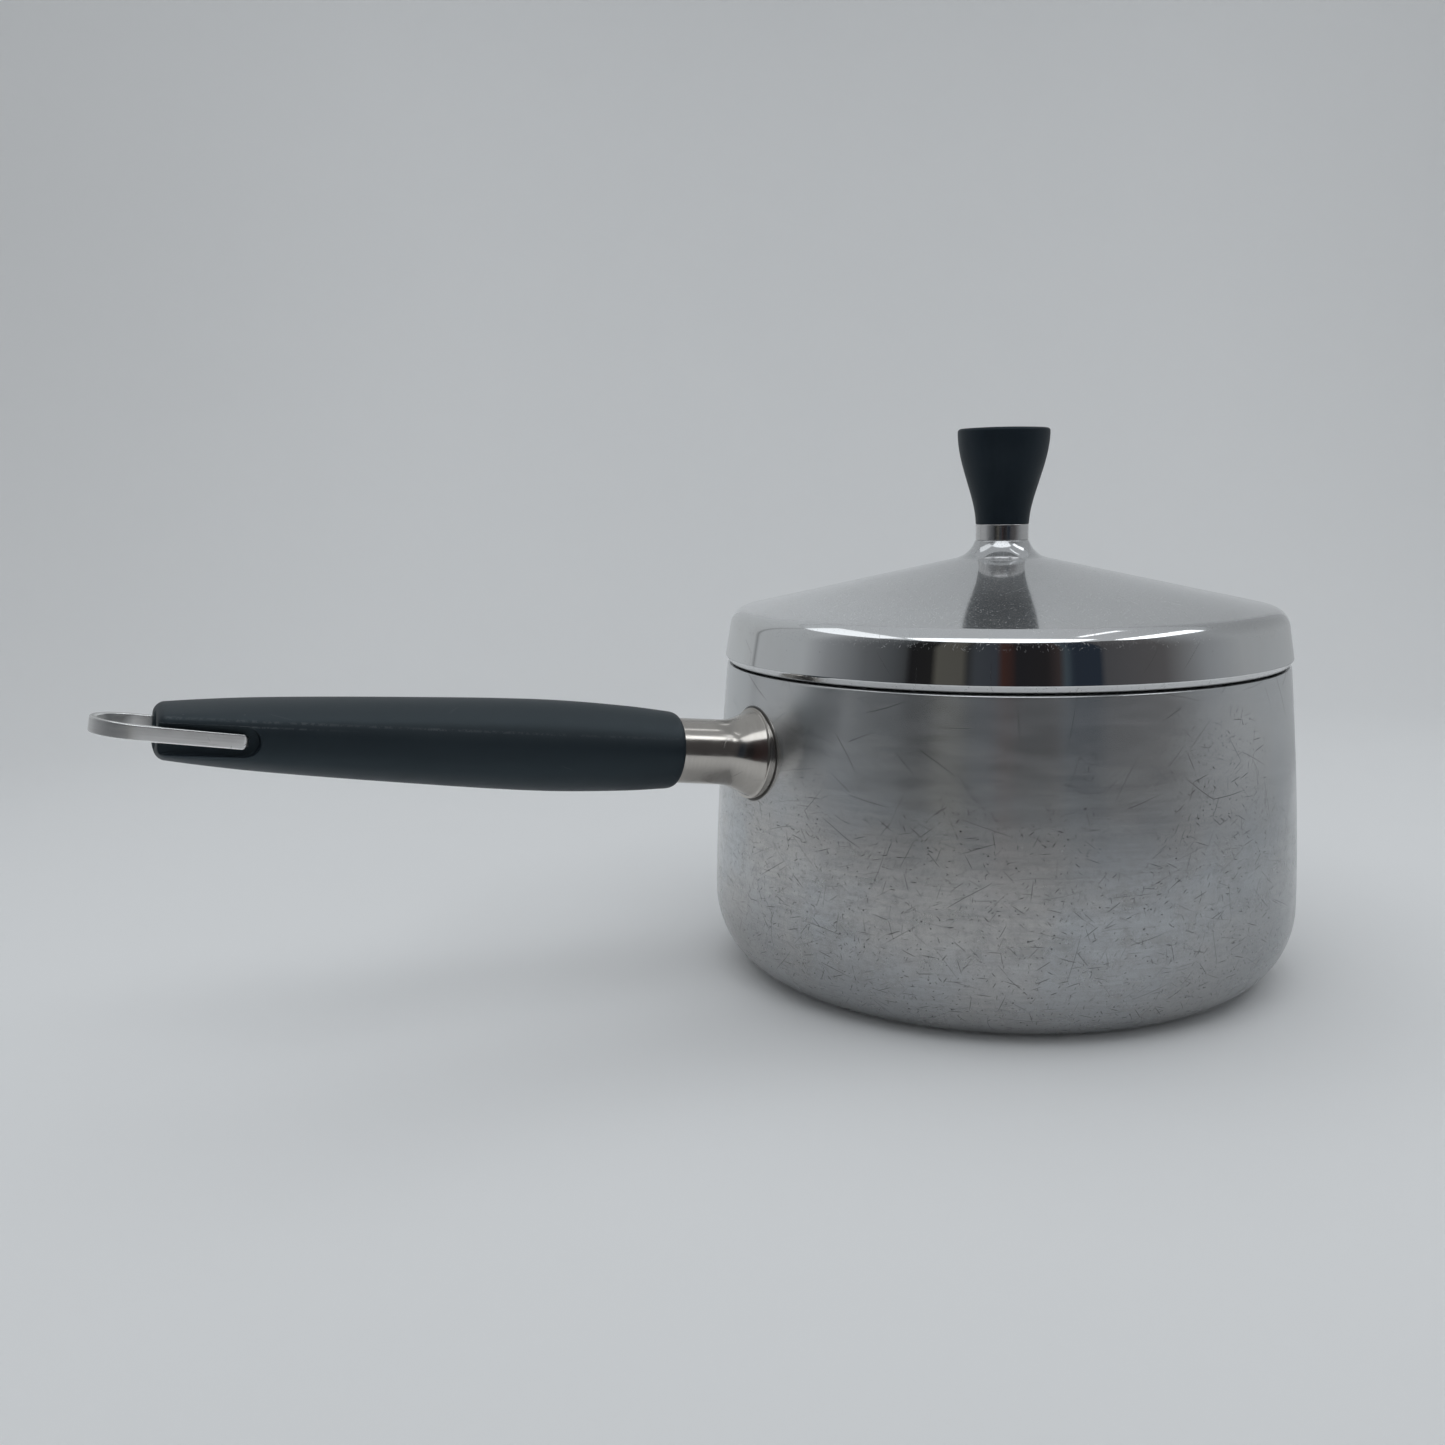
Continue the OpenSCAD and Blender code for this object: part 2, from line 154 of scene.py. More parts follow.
# Hanging ring
RING_R, STRIP_T, STRIP_H = 11.4, 1.6, 4.0
RING_LENGTH = 35.5
RING_BEND_X = STRIP_T / 4
STRIP_SOFT, STRIP_END_ROUND = 0.42, 0.8
RING_TILT = math.radians(3)
PIVOT_S, PIVOT_H = 148.5, -0.65
PIN_R, PIN_L, PIN_GAP = 1.1, 4.3, 0.05
# Distance of a recess's floor from the middle of the grip
RECESS_FLOOR_W = RING_R - STRIP_T - RECESS_GAP


# ---- Outlines ----

def wall_r(z):
    """Radius of the pan's outer wall at a height above the bottom corner."""
    t = (SHOULDER_Z - z) / (SHOULDER_Z - CORNER_H)
    return SHOULDER_R + WALL_BULGE * (1 - max(0, 1 - t) ** BULGE_POWER)


def arc(centre, radii, start, end, steps):
    """Points of an ellipse's arc, with its angles in degrees."""
    angles = [math.radians(start + (end - start) * i / steps) for i in range(steps + 1)]
    return [(centre[0] + radii[0] * math.cos(a), centre[1] + radii[1] * math.sin(a)) for a in angles]


def corner_arc(before, corner, after, radius, step):
    """Points of the arc that rounds a path's corner."""
    p = Vector(corner[:2])
    u = (Vector(before[:2]) - p).normalized()
    v = (Vector(after[:2]) - p).normalized()
    half = u.angle(v) / 2
    centre = p + (u + v).normalized() * radius / math.sin(half)
    start = p + u * radius / math.tan(half) - centre
    end = p + v * radius / math.tan(half) - centre
    a0 = math.atan2(start.y, start.x)
    turn = (math.atan2(end.y, end.x) - a0 + math.pi) % math.tau - math.pi
    steps = max(3, math.ceil(abs(turn) / math.radians(step)))
    return [tuple(centre + radius * Vector((math.cos(a), math.sin(a))))
            for a in (a0 + turn * i / steps for i in range(steps + 1))]


def rounded(path, step=5):
    """A path of (x, y, rounding) corners as plain points."""
    points = [path[0][:2]]
    for before, corner, after in zip(path, path[1:], path[2:]):
        points += corner_arc(before, corner, after, corner[2], step) if corner[2] > 0 else [corner[:2]]
    return points + [path[-1][:2]]


def right_of(a, b):
    d = (Vector(b[:2]) - Vector(a[:2])).normalized()
    return Vector((d.y, -d.x))


def inset(path, t):
    """The same path moved by t to its right, with its roundings kept concentric."""
    moved = []
    last = len(path) - 1
    for i, corner in enumerate(path):
        n1 = right_of(path[max(i - 1, 0)], path[max(i, 1)])
        n2 = right_of(path[min(i, last - 1)], path[min(i + 1, last)])
        x, y = Vector(corner[:2]) + (n1 + n2) * t / (1 + n1.dot(n2))
        grow = t if n1.cross(n2) > 0 else -t
        moved.append((x, y, max(0.1, corner[2] + grow) if corner[2] > 0 else 0))
    return moved


def sheet(path, t):
    """Closed outline of a sheet of thickness t on the right of a path."""
    return rounded(path) + rounded(inset(path, t))[::-1]


def grip_size(fraction):
    """Crown, half height and flat at a fraction of the grip's length, on a smooth curve."""
    last = len(GRIP_STATIONS) - 1
    i = max(k for k in range(last) if GRIP_STATIONS[k][0] <= fraction)
    p0, p1 = GRIP_STATIONS[max(i - 1, 0)], GRIP_STATIONS[i]
    p2, p3 = GRIP_STATIONS[i + 1], GRIP_STATIONS[min(i + 2, last)]
    span = p2[0] - p1[0]
    u = (fraction - p1[0]) / span
    size = []
    for k in (1, 2, 3):
        m1 = (p2[k] - p0[k]) / (p2[0] - p0[0]) * span
        m2 = (p3[k] - p1[k]) / (p3[0] - p1[0]) * span
        size.append(p1[k] * (2 * u**3 - 3 * u**2 + 1) + m1 * (u**3 - 2 * u**2 + u)
                    + p2[k] * (3 * u**2 - 2 * u**3) + m2 * (u**3 - u**2))
    return size


def grip_point(s, angle, pull_in=0):
    """A point of the grip's skin: a crowned ellipse cut by flat sides, with a soft ridge."""
    fraction = min(max((s - GRIP_START) / (GRIP_END - GRIP_START), 0), 1)
    crown, high, flat = (v - pull_in for v in grip_size(fraction))
    oval = math.hypot(math.cos(angle) / crown, math.sin(angle) / high)
    side = abs(math.cos(angle)) / flat
    r = (oval**RIDGE_POWER + side**RIDGE_POWER) ** (-1 / RIDGE_POWER)
    return r * math.sin(angle), r * math.cos(angle), s


def grip_side(s, h):
    """Half width of the grip's skin at height h, found by halving the angle's range."""
    low, high = -math.pi / 2, math.pi / 2
    for _ in range(24):
        middle = (low + high) / 2
        if grip_point(s, middle)[0] < h:
            low = middle
        else:
            high = middle
    return grip_point(s, low)[1]


def knob_side(t):
    """Radius of the knob at fraction t of its height: an S-curve from foot to top."""
    u = t**FLARE_POWER
    return COLLAR_R + (KNOB_R - COLLAR_R) * (3 * u * u - 2 * u**3)


# ---- Meshes ----

def placed(name, data):
    """New object in the scene."""
    piece = bpy.data.objects.new(name, data)
    bpy.context.scene.collection.objects.link(piece)
    return piece


def finish_mesh(bm, name, place=None, sharp=35):
    """Smooth object in metres from a bmesh in millimetres. Edges over the sharp angle stay sharp."""
    bmesh.ops.recalc_face_normals(bm, faces=bm.faces)
    for face in bm.faces:
        face.smooth = True
    for edge in bm.edges:
        edge.smooth = len(edge.link_faces) != 2 or edge.calc_face_angle() < math.radians(sharp)
    bm.transform(Matrix.Scale(MM, 4) @ (place or Matrix()))
    mesh = bpy.data.meshes.new(name)
    bm.to_mesh(mesh)
    bm.free()
    return placed(name, mesh)


def revolved(outline, segments=256, start=0.0, sweep=math.tau, closed=True):
    """Bmesh of an (r, z) outline turned about Z. A point on the axis becomes one vertex."""
    bm = bmesh.new()
    whole = abs(sweep - math.tau) < 1e-6
    count = segments if whole else segments + 1
    angles = [start + sweep * k / segments for k in range(count)]
    rings = []
    for r, z in outline:
        if r < 1e-6:
            rings.append([bm.verts.new((0, 0, z))])
        else:
            rings.append([bm.verts.new((r * math.cos(a), r * math.sin(a), z)) for a in angles])
    pairs = zip(rings, rings[1:] + rings[:1]) if closed else zip(rings, rings[1:])
    for a, b in pairs:
        for k in range(segments):
            n = (k + 1) % count
            corners = [a[k % len(a)], a[n % len(a)], b[n % len(b)], b[k % len(b)]]
            unique = list(dict.fromkeys(corners))
            if len(unique) > 2:
                bm.faces.new(unique)
    return bm


def lofted(rings):
    """Bmesh of a closed skin over rings of equally many points, with a fan over each end."""
    bm = bmesh.new()
    loops = [[bm.verts.new(p) for p in ring] for ring in rings]
    n = len(loops[0])
    for a, b in zip(loops, loops[1:]):
        for k in range(n):
            bm.faces.new((a[k], a[(k + 1) % n], b[(k + 1) % n], b[k]))
    for loop in (loops[0], loops[-1]):
        centre = bm.verts.new(sum((v.co for v in loop), Vector()) / n)
        for k in range(n):
            bm.faces.new((centre, loop[k], loop[(k + 1) % n]))
    return bm


def combined(bm, tool, operation):
    """Result of a boolean of two closed bmeshes, as a bmesh. Both are used up."""
    pair = []
    for part in (bm, tool):
        bmesh.ops.recalc_face_normals(part, faces=part.faces)
        mesh = bpy.data.meshes.new("boolean_part")
        part.to_mesh(mesh)
        part.free()
        pair.append(placed("boolean_part", mesh))
    cut = pair[0].modifiers.new("cut", "BOOLEAN")
    cut.operation = operation
    cut.solver = "EXACT"
    cut.object = pair[1]
    evaluated = pair[0].evaluated_get(bpy.context.evaluated_depsgraph_get())
    result = bmesh.new()
    result.from_mesh(evaluated.to_mesh())
    evaluated.to_mesh_clear()
    for piece in pair:
        mesh = piece.data
        bpy.data.objects.remove(piece)
        bpy.data.meshes.remove(mesh)
    bmesh.ops.remove_doubles(result, verts=result.verts, dist=1e-4)
    return result


# ---- Node trees ----

def grey(value):
    return value, value, value, 1


class Finish:
    """One procedural material, with short names for the nodes that it uses. Lengths are in metres."""

    def __init__(self, name, metallic=1.0, place=None, **sockets):
        self.material = bpy.data.materials.new(name)
        self.material.use_nodes = True
        self.tree = self.material.node_tree
        self.tree.nodes.clear()
        self.shader = self.tree.nodes.new("ShaderNodeBsdfPrincipled")
        output = self.tree.nodes.new("ShaderNodeOutputMaterial")
        self.tree.links.new(self.shader.outputs[0], output.inputs[0])
        self.set("Metallic", metallic)
        for socket, value in sockets.items():
            self.set(socket.replace("_", " "), value)
        self.where = self.add("TexCoord").outputs["Object"]
        if place:
            self.where = self.in_frame(place)

    def put(self, socket, value):
        if isinstance(value, bpy.types.NodeSocket):
            self.tree.links.new(value, socket)
        elif value is not None:
            socket.default_value = value

    def set(self, socket, value):
        self.put(self.shader.inputs[socket], value)

    def add(self, kind, inputs=None, **settings):
        node = self.tree.nodes.new("ShaderNode" + kind)
        for key, value in settings.items():
            setattr(node, key, value)
        for socket, value in (inputs or {}).items():
            self.put(node.inputs[socket], value)
        return node

    def in_frame(self, place):
        """Object coordinates seen from a frame that is given in millimetres."""
        return self.add("Mapping", {"Vector": self.where, "Location": place.translation * MM,
                                    "Rotation": place.to_euler()}, vector_type="TEXTURE").outputs[0]

    def math(self, operation, a, b=0.0):
        return self.add("Math", {0: a, 1: b}, operation=operation).outputs[0]

    def plus(self, a, b):
        return self.math("ADD", a, b)

    def minus(self, a, b):
        return self.math("SUBTRACT", a, b)

    def times(self, a, b):
        return self.math("MULTIPLY", a, b)

    def either(self, a, b):
        return self.math("MAXIMUM", a, b)

    def vector(self, operation, a, b=(0, 0, 0)):
        node = self.add("VectorMath", {0: a, 1: b}, operation=operation)
        return node.outputs["Value" if operation in ("DOT_PRODUCT", "LENGTH") else "Vector"]

    def step(self, value, low, high, from_value=0.0, to_value=1.0):
        """Smooth change from one value to another as the input goes from low to high."""
        node = self.add("MapRange", {"Value": value, "From Min": low, "From Max": high,
                                     "To Min": from_value, "To Max": to_value},
                        interpolation_type="SMOOTHSTEP")
        return node.outputs[0]

    def noise(self, size, detail=3.0, roughness=0.5, where=None, colour=False):
        """Noise with features about size metres across."""
        node = self.add("TexNoise", {"Vector": where or self.where, "Scale": 1 / size, "Detail": detail,
                                     "Roughness": roughness})
        return node.outputs["Color" if colour else "Fac"]

    def mix(self, factor, a, b):
        node = self.add("Mix", {"Factor": factor}, data_type="RGBA")
        self.put(node.inputs[6], a)
        self.put(node.inputs[7], b)
        return node.outputs[2]

    def layered(self, colour, *layers):
        """A colour with (amount, colour) layers laid over it in turn."""
        for amount, layer in layers:
            colour = self.mix(amount, colour, layer)
        return colour

    def turned(self, along, spin):
        """Coordinates for lines that run round Z: quick changes along the outline, slow ones round it."""
        x, y, z = self.split(self.where)
        flat = self.add("CombineXYZ", {"X": x, "Y": y}).outputs[0]
        radius = self.vector("LENGTH", flat)
        ax, ay, _ = self.split(self.vector("NORMALIZE", flat))
        run = self.math("DIVIDE", self.plus(radius, z), along)
        around = {"X": run, "Y": self.times(ax, spin), "Z": self.times(ay, spin)}
        return self.add("CombineXYZ", around).outputs[0]

    def split(self, vector):
        return self.add("SeparateXYZ", {0: vector}).outputs[:3]

    def cells(self, spacing, seed):
        """Random colour and offset from the centre, for scattered points about spacing apart."""
        where = self.vector("ADD", self.where, Vector((1.7, 2.9, 3.1)) * seed)
        node = self.add("TexVoronoi", {"Vector": where, "Scale": 1 / spacing, "Randomness": 1.0})
        offset = self.vector("SUBTRACT", where, node.outputs["Position"])
        return node.outputs["Color"], offset

    def scratches(self, spacing, length, width, seed, lean=1.0, bend=0.0):
        """Mask of thin lines, one for each cell. A lean over 1 makes more of them lie flat."""
        middle = (0.5, 0.5, 0.5)
        colour, offset = self.cells(spacing, seed)
        if bend:
            wave = self.vector("SUBTRACT", self.noise(length, 1.0, colour=True), middle)
            offset = self.vector("ADD", offset, self.scaled(wave, bend))
        spread = self.vector("MULTIPLY", self.vector("SUBTRACT", colour, middle), (1, 1, lean))
        plane = self.vector("NORMALIZE", spread)
        normal = self.add("NewGeometry").outputs["Normal"]
        slant = self.vector("LENGTH", self.vector("CROSS_PRODUCT", plane, normal))
        across = self.math("ABSOLUTE", self.vector("DOT_PRODUCT", offset, plane))
        line = self.step(self.math("DIVIDE", across, self.either(slant, 0.05)), width * 0.3, width, 1, 0)
        reach = self.step(self.vector("LENGTH", offset), length * 0.2, length * 0.5, 1, 0)
        fade = self.step(self.split(colour)[2], 0, 1, 0.4, 1)
        return self.times(self.times(line, reach), fade)

    def scaled(self, vector, amount):
        node = self.add("VectorMath", {0: vector}, operation="SCALE")
        self.put(node.inputs["Scale"], amount)
        return node.outputs[0]

    def pits(self, spacing, radius, seed, share=1.0):
        """Mask of round dots in a share of the cells."""
        colour, offset = self.cells(spacing, seed)
        red, green, _ = self.split(colour)
        size = self.times(self.step(red, 0, 1, 0.5, 1), radius)
        inside = self.math("LESS_THAN", self.vector("LENGTH", offset), size)
        return self.times(inside, self.math("LESS_THAN", green, share))

    def bump(self, height, distance):
        node = self.add("Bump", {"Height": height, "Distance": distance})
        self.set("Normal", node.outputs[0])

    def around(self):
        """Grooves that run round the row frame's Z, which spread a highlight across them."""
        self.set("Tangent", self.add("Tangent", direction_type="RADIAL", axis="Z").outputs[0])
        self.set("Anisotropic Rotation", 0.25)


def pan_tone(f, z, low, patches, mottle):
    """Drawn wall's colour: mottled low down, painted shade on the picture's right and base, painted light
    up high.
    """
    side = f.vector("DOT_PRODUCT", f.where, PICTURE_RIGHT)
    lines = f.noise(1.0, 2.0, 0.6, where=f.turned(0.0007, 4))
    streaks = f.noise(1.0, 4.0, 0.7, where=f.turned(0.0016, 9))
    speckle = f.step(f.noise(0.0016, 4.0, 0.7), 0.5, 0.66)
    shaded_side = f.times(f.step(side, 0.0, 0.085, 0, 0.7), f.step(z, 0.06, 0.095, 1, 0))
    return f.layered(
        f.mix(f.step(patches, 0.4, 0.6), (0.57, 0.59, 0.61, 1), (0.61, 0.595, 0.58, 1)),
        (f.times(f.step(mottle, 0.42, 0.68), f.step(low, 0, 1, 0.1, 0.6)), (0.50, 0.495, 0.485, 1)),
        (f.times(speckle, f.step(low, 0, 1, 0.08, 0.45)), (0.36, 0.36, 0.355, 1)),
        (f.times(f.step(streaks, 0.5, 0.72), f.step(low, 0, 1, 0.25, 0.6)), grey(0.40)),
        (f.step(lines, 0.3, 0.7, 0, 0.34), (0.42, 0.43, 0.44, 1)),
        # Painted shade: the wall darkens toward its base
        (f.step(z, 0.012, 0.05, 0.5, 0), (0.26, 0.26, 0.265, 1)),
        # Painted shade on the wall's side toward PICTURE_RIGHT
        (shaded_side, (0.28, 0.295, 0.31, 1)),
        # Painted light: the wall is lighter from 50 mm up
        (f.step(z, 0.05, 0.09, 0, 0.7), (0.76, 0.77, 0.78, 1)))


def pan_marks(f, worn):
    """Long hairs all over, and short scratches, nicks and dots where the wall is worn."""
    hairs = f.times(f.scratches(0.013, 0.020, 0.00013, 1, lean=1.6, bend=0.002), 0.85)
    flat = f.scratches(0.0052, 0.0055, 0.00013, 5, lean=2.5)
    fine = f.either(flat, f.scratches(0.0065, 0.007, 0.00013, 8))
    nicks = f.either(f.scratches(0.0030, 0.0022, 0.00017, 3), f.scratches(0.0017, 0.0010, 0.00015, 6))
    dots = f.either(f.pits(0.0020, 0.00026, 4, 0.6), f.pits(0.011, 0.0004, 7, 0.4))
    return f.either(hairs, f.times(f.either(fine, f.either(nicks, dots)), worn))


def guard_painted_shadow(f):
    """Painted shadow: a dark ring on the wall round the flame guard's flange."""
    up, across, along = f.split(f.in_frame(HANDLE))
    off_axis = f.vector("LENGTH", f.add("CombineXYZ", {"X": up, "Y": across}).outputs[0])
    ring = f.step(off_axis, (FLANGE_R + 0.35) * MM, (FLANGE_R + 0.95) * MM, 1, 0)
    return f.times(ring, f.step(along, -0.03, -0.02))


def pan_aluminium():
    f = Finish("pan_aluminium", metallic=0.93, Anisotropic=0.75)
    _, _, z = f.split(f.where)
    broad = f.noise(1.0, 2.0, 0.5, where=f.turned(0.004, 5))
    patches = f.noise(0.05, 4.0, 0.6)
    mottle = f.noise(0.007, 5.0, 0.7)
    low = f.step(z, 0.03, 0.085, 1, 0)
    worn = f.step(f.plus(patches, f.times(low, 0.25)), 0.5, 0.62)
    # Painted shadow: a dark, rougher ring on the wall round the flame guard's flange
    flange_shadow = guard_painted_shadow(f)
    f.set("Base Color", f.layered(
        pan_tone(f, z, low, patches, mottle),
        (f.times(pan_marks(f, worn), 0.85), grey(0.05)),
        (f.times(flange_shadow, 0.85), (0.05, 0.045, 0.04, 1))))
    rough = f.step(broad, 0.3, 0.7, 0.21, 0.25)
    rough = f.plus(rough, f.times(f.step(mottle, 0.35, 0.75, 0, 0.06), low))
    f.set("Roughness", f.plus(rough, f.times(flange_shadow, 0.3)))
    f.around()
    f.bump(broad, 0.00002)
    return f.material


def lid_marks(f, edge, bead):
    """Mask of the scuffed rim, and mask of all the lid's marks."""
    patchy = f.step(f.noise(0.008, 2.0), 0.35, 0.6, 0.35, 1)
    scuffs = f.either(f.scratches(0.0011, 0.0010, 0.00010, 13), f.scratches(0.0026, 0.0022, 0.00011, 16))
    scuffs = f.times(f.times(scuffs, f.either(edge, bead)), patchy)
    chips = f.times(f.pits(0.0013, 0.00014, 14, 0.6), f.either(f.times(edge, 0.7), bead))
    hairs = f.times(f.scratches(0.014, 0.014, 0.00012, 12, bend=0.002), 0.8)
    dots = f.either(f.pits(0.008, 0.0003, 15, 0.4), f.times(f.pits(0.0028, 0.00018, 19, 0.4), 0.6))
    scuffed = f.either(scuffs, chips)
    return scuffed, f.either(scuffed, f.either(hairs, dots))


def lid_aluminium():
    """Polished metal, hazy cone with painted shade on the picture's right and near the neck; edge and bead
    scuffed.
    """
    f = Finish("lid_aluminium")
    _, _, z = f.split(f.where)
    side = f.vector("DOT_PRODUCT", f.where, PICTURE_RIGHT)
    cone = f.step(z, 0.112, 0.1165)
    edge = f.times(f.step(z, 0.1105, 0.1118), f.step(z, 0.1130, 0.1155, 1, 0))
    bead = f.step(z, 0.1014, 0.1021, 1, 0)
    stains = f.step(f.noise(0.03, 4.0, 0.6), 0.35, 0.7, 0, 0.6)
    scuffed, marks = lid_marks(f, edge, bead)
    f.set("Base Color", f.layered(
        f.mix(stains, (0.86, 0.87, 0.88, 1), (0.81, 0.80, 0.79, 1)),
        (f.times(cone, 0.7), (0.74, 0.745, 0.75, 1)),
        # Painted shade on the cone's side toward PICTURE_RIGHT
        (f.times(f.step(side, -0.01, 0.065), f.times(cone, 0.95)), (0.50, 0.505, 0.51, 1)),
        (f.times(bead, 0.6), grey(0.50)),
        # Painted shade: the cone darkens near its neck
        (f.step(z, 0.117, 0.128, 0, 0.75), (0.56, 0.565, 0.57, 1)),
        (f.times(marks, 0.7), grey(0.33))))
    specks = f.step(f.noise(0.0004, 3.0, 0.7), 0.5, 0.68)
    haze = f.plus(f.step(specks, 0, 1, 0.12, 0.28), f.step(z, 0.1206, 0.1272, 0, 0.12))
    haze = f.times(f.either(haze, f.times(f.pits(0.0010, 0.00022, 17, 0.7), 0.5)), cone)
    f.set("Metallic", f.minus(1.0, f.either(haze, f.times(scuffed, 0.6))))
    rough = f.plus(f.step(cone, 0, 1, 0.03, 0.08), f.times(specks, f.times(cone, 0.12)))
    rough = f.plus(rough, f.times(bead, 0.14))
    f.set("Roughness", f.plus(rough, f.times(marks, 0.35)))
    f.bump(f.times(f.noise(0.0009, 3.0, 0.6), 0.04), 0.00004)
    return f.material


# Turned and drawn metals: bright tone, dark tone, roughness and seed of the marks
TURNED = {"fastener_steel": ((0.62, 0.61, 0.60, 1), (0.45, 0.44, 0.43, 1), 0.26, 51),
          "collar_chrome": ((0.74, 0.73, 0.73, 1), (0.66, 0.65, 0.65, 1), 0.15, 61),
          "guard_steel": ((0.53, 0.50, 0.465, 1), (0.44, 0.41, 0.375, 1), 0.12, 71),
          "rivet_aluminium": ((0.72, 0.72, 0.73, 1), (0.60, 0.60, 0.60, 1), 0.28, 81),
          "bracket_steel": ((0.5, 0.5, 0.5, 1), (0.38, 0.38, 0.38, 1), 0.34, 91)}


def turned_metal(name, place=None):
    """Bright turned or drawn metal with fine lines round its axis, a few pits and short marks."""
    bright, dark, roughness, seed = TURNED[name]
    f = Finish(name, place=place, Anisotropic=0.3)
    lines = f.noise(1.0, 2.0, 0.6, where=f.turned(0.0004, 2))
    cloud = f.noise(0.008, 3.0, 0.6)
    marks = f.either(f.pits(0.0035, 0.00022, seed, 0.4), f.scratches(0.008, 0.005, 0.00013, seed + 1))
    f.set("Base Color", f.layered(
        bright,
        (f.step(lines, 0.3, 0.7, 0, 0.35), dark),
        (f.times(marks, 0.6), (0.12, 0.11, 0.10, 1))))
    rough = f.plus(roughness, f.step(cloud, 0.3, 0.7, 0, 0.06))
    f.set("Roughness", f.plus(rough, f.times(marks, 0.2)))
    f.around()
    f.bump(f.minus(f.times(lines, 0.2), marks), 0.00003)
    return f.material


# Tint of the sheen on the black plastic parts
BLUISH = (0.74, 0.93, 1.0, 1)


def knob_black():
    f = Finish("knob_black", metallic=0.0, Specular_IOR_Level=0.38, Specular_Tint=BLUISH)
    cloud = f.noise(0.012, 3.0, 0.6)
    dark, pale = (0.0062, 0.0100, 0.0165, 1), (0.0084, 0.0126, 0.0190, 1)
    f.set("Base Color", f.mix(f.step(cloud, 0.3, 0.7), dark, pale))
    f.set("Roughness", f.step(cloud, 0.3, 0.7, 0.44, 0.52))
    f.bump(f.noise(0.0006, 4.0, 0.6), 0.00004)
    return f.material


def rub_line(f, up, height, fade):
    """Mask of a line along the grip at a height in the handle's frame."""
    off = f.math("ABSOLUTE", f.minus(up, height))
    return f.step(off, 0.0001, fade, 1, 0)


def grip_marks(f, up, across, along):
    """Broken pale lines where the ridges are rubbed, a few scratches, and dots near the rear."""
    outer = f.step(f.math("ABSOLUTE", across), 0.0095, 0.0105)
    broken = f.step(f.noise(0.0011, 3.0, 0.7), 0.44, 0.56)
    worn = f.times(f.step(f.noise(0.014, 2.0), 0.35, 0.6, 0.4, 1), f.step(along, 0.05, 0.12, 0.4, 1))
    low = f.times(rub_line(f, up, 0.0033, 0.0003), f.step(along, 0.11, 0.15))
    lines = f.either(rub_line(f, up, 0.0047, 0.0005), low)
    rub = f.times(f.times(lines, broken), f.times(outer, worn))
    scratches = f.times(f.scratches(0.012, 0.008, 0.00012, 32, lean=0.3), 0.5)
    rear = f.times(f.step(along, 0.14, 0.155), f.pits(0.0028, 0.00028, 33, 0.3))
    return f.either(f.either(rub, scratches), f.times(rear, 0.8))


def grip_black(place):
    """Moulded black plastic, with painted light on its upper faces."""
    f = Finish("grip_black", metallic=0.0, place=place, Specular_IOR_Level=0.62, Specular_Tint=BLUISH)
    up, across, along = f.split(f.where)
    cloud = f.noise(0.02, 4.0, 0.6)
    marks = grip_marks(f, up, across, along)
    f.set("Base Color", f.layered(
        f.mix(f.step(cloud, 0.3, 0.7), (0.0036, 0.0066, 0.0120, 1), (0.0052, 0.0086, 0.0140, 1)),
        # Painted light: the upper faces are paler
        (f.step(up, 0.001, 0.0065, 0, 0.5), (0.046, 0.052, 0.057, 1)),
        (f.times(marks, 0.4), (0.13, 0.135, 0.14, 1))))
    rough = f.step(cloud, 0.3, 0.7, 0.48, 0.55)
    f.set("Roughness", f.plus(rough, f.times(marks, 0.15)))
    f.bump(f.noise(0.0007, 4.0, 0.6), 0.00002)
    return f.material


def ring_steel(place):
    """Steel strip with grain along its length, polished edges and scratches near its ends."""
    f = Finish("ring_steel", place=place, Anisotropic=0.7)
    along, across, up = f.split(f.where)
    grain = f.add("CombineXYZ", {"X": f.times(along, 60), "Y": f.times(across, 60), "Z": f.times(up, 2500)})
    lines = f.noise(1.0, 2.0, 0.6, where=grain.outputs[0])
    cloud = f.noise(0.006, 3.0, 0.6)
    near_end = f.step(along, 0.002, 0.014, 1, 0)
    marks = f.times(f.scratches(0.003, 0.0035, 0.00014, 41, lean=5), near_end)
    marks = f.either(marks, f.pits(0.004, 0.0002, 42, 0.3))
    polished = f.step(f.math("ABSOLUTE", up), 0.00145, 0.00175)
    f.set("Base Color", f.layered(
        (0.97, 0.96, 0.95, 1),
        (f.step(lines, 0.3, 0.7, 0, 0.4), (0.84, 0.83, 0.81, 1)),
        (polished, (0.97, 0.97, 0.96, 1)),
        (f.times(marks, 0.75), (0.09, 0.085, 0.08, 1))))
    rough = f.minus(f.step(cloud, 0.3, 0.7, 0.38, 0.44), f.times(polished, 0.2))
    f.set("Roughness", f.plus(rough, f.times(marks, 0.2)))
    f.around()
    f.bump(f.minus(f.times(lines, 0.25), marks), 0.00004)
    return f.material


def insert_brass():
    f = Finish("insert_brass")
    cloud = f.noise(0.003, 4.0, 0.6)
    f.set("Base Color", f.mix(cloud, (0.72, 0.56, 0.30, 1), (0.60, 0.44, 0.22, 1)))
    f.set("Roughness", f.step(cloud, 0.3, 0.7, 0.25, 0.4))
    f.bump(f.noise(0.0006, 3.0), 0.00003)
    return f.material


# ---- Pieces ----

def handle_frame():
    """X up, Y across and Z outwards along the handle, from the wall."""
    across = Vector((0, 1, 0))
    out = Vector((-math.cos(TILT), 0, math.sin(TILT)))
    up = across.cross(out)
    turn = Matrix((up, across, out)).transposed().to_4x4()
    return Matrix.Translation((-wall_r(HANDLE_Z), 0, HANDLE_Z)) @ turn


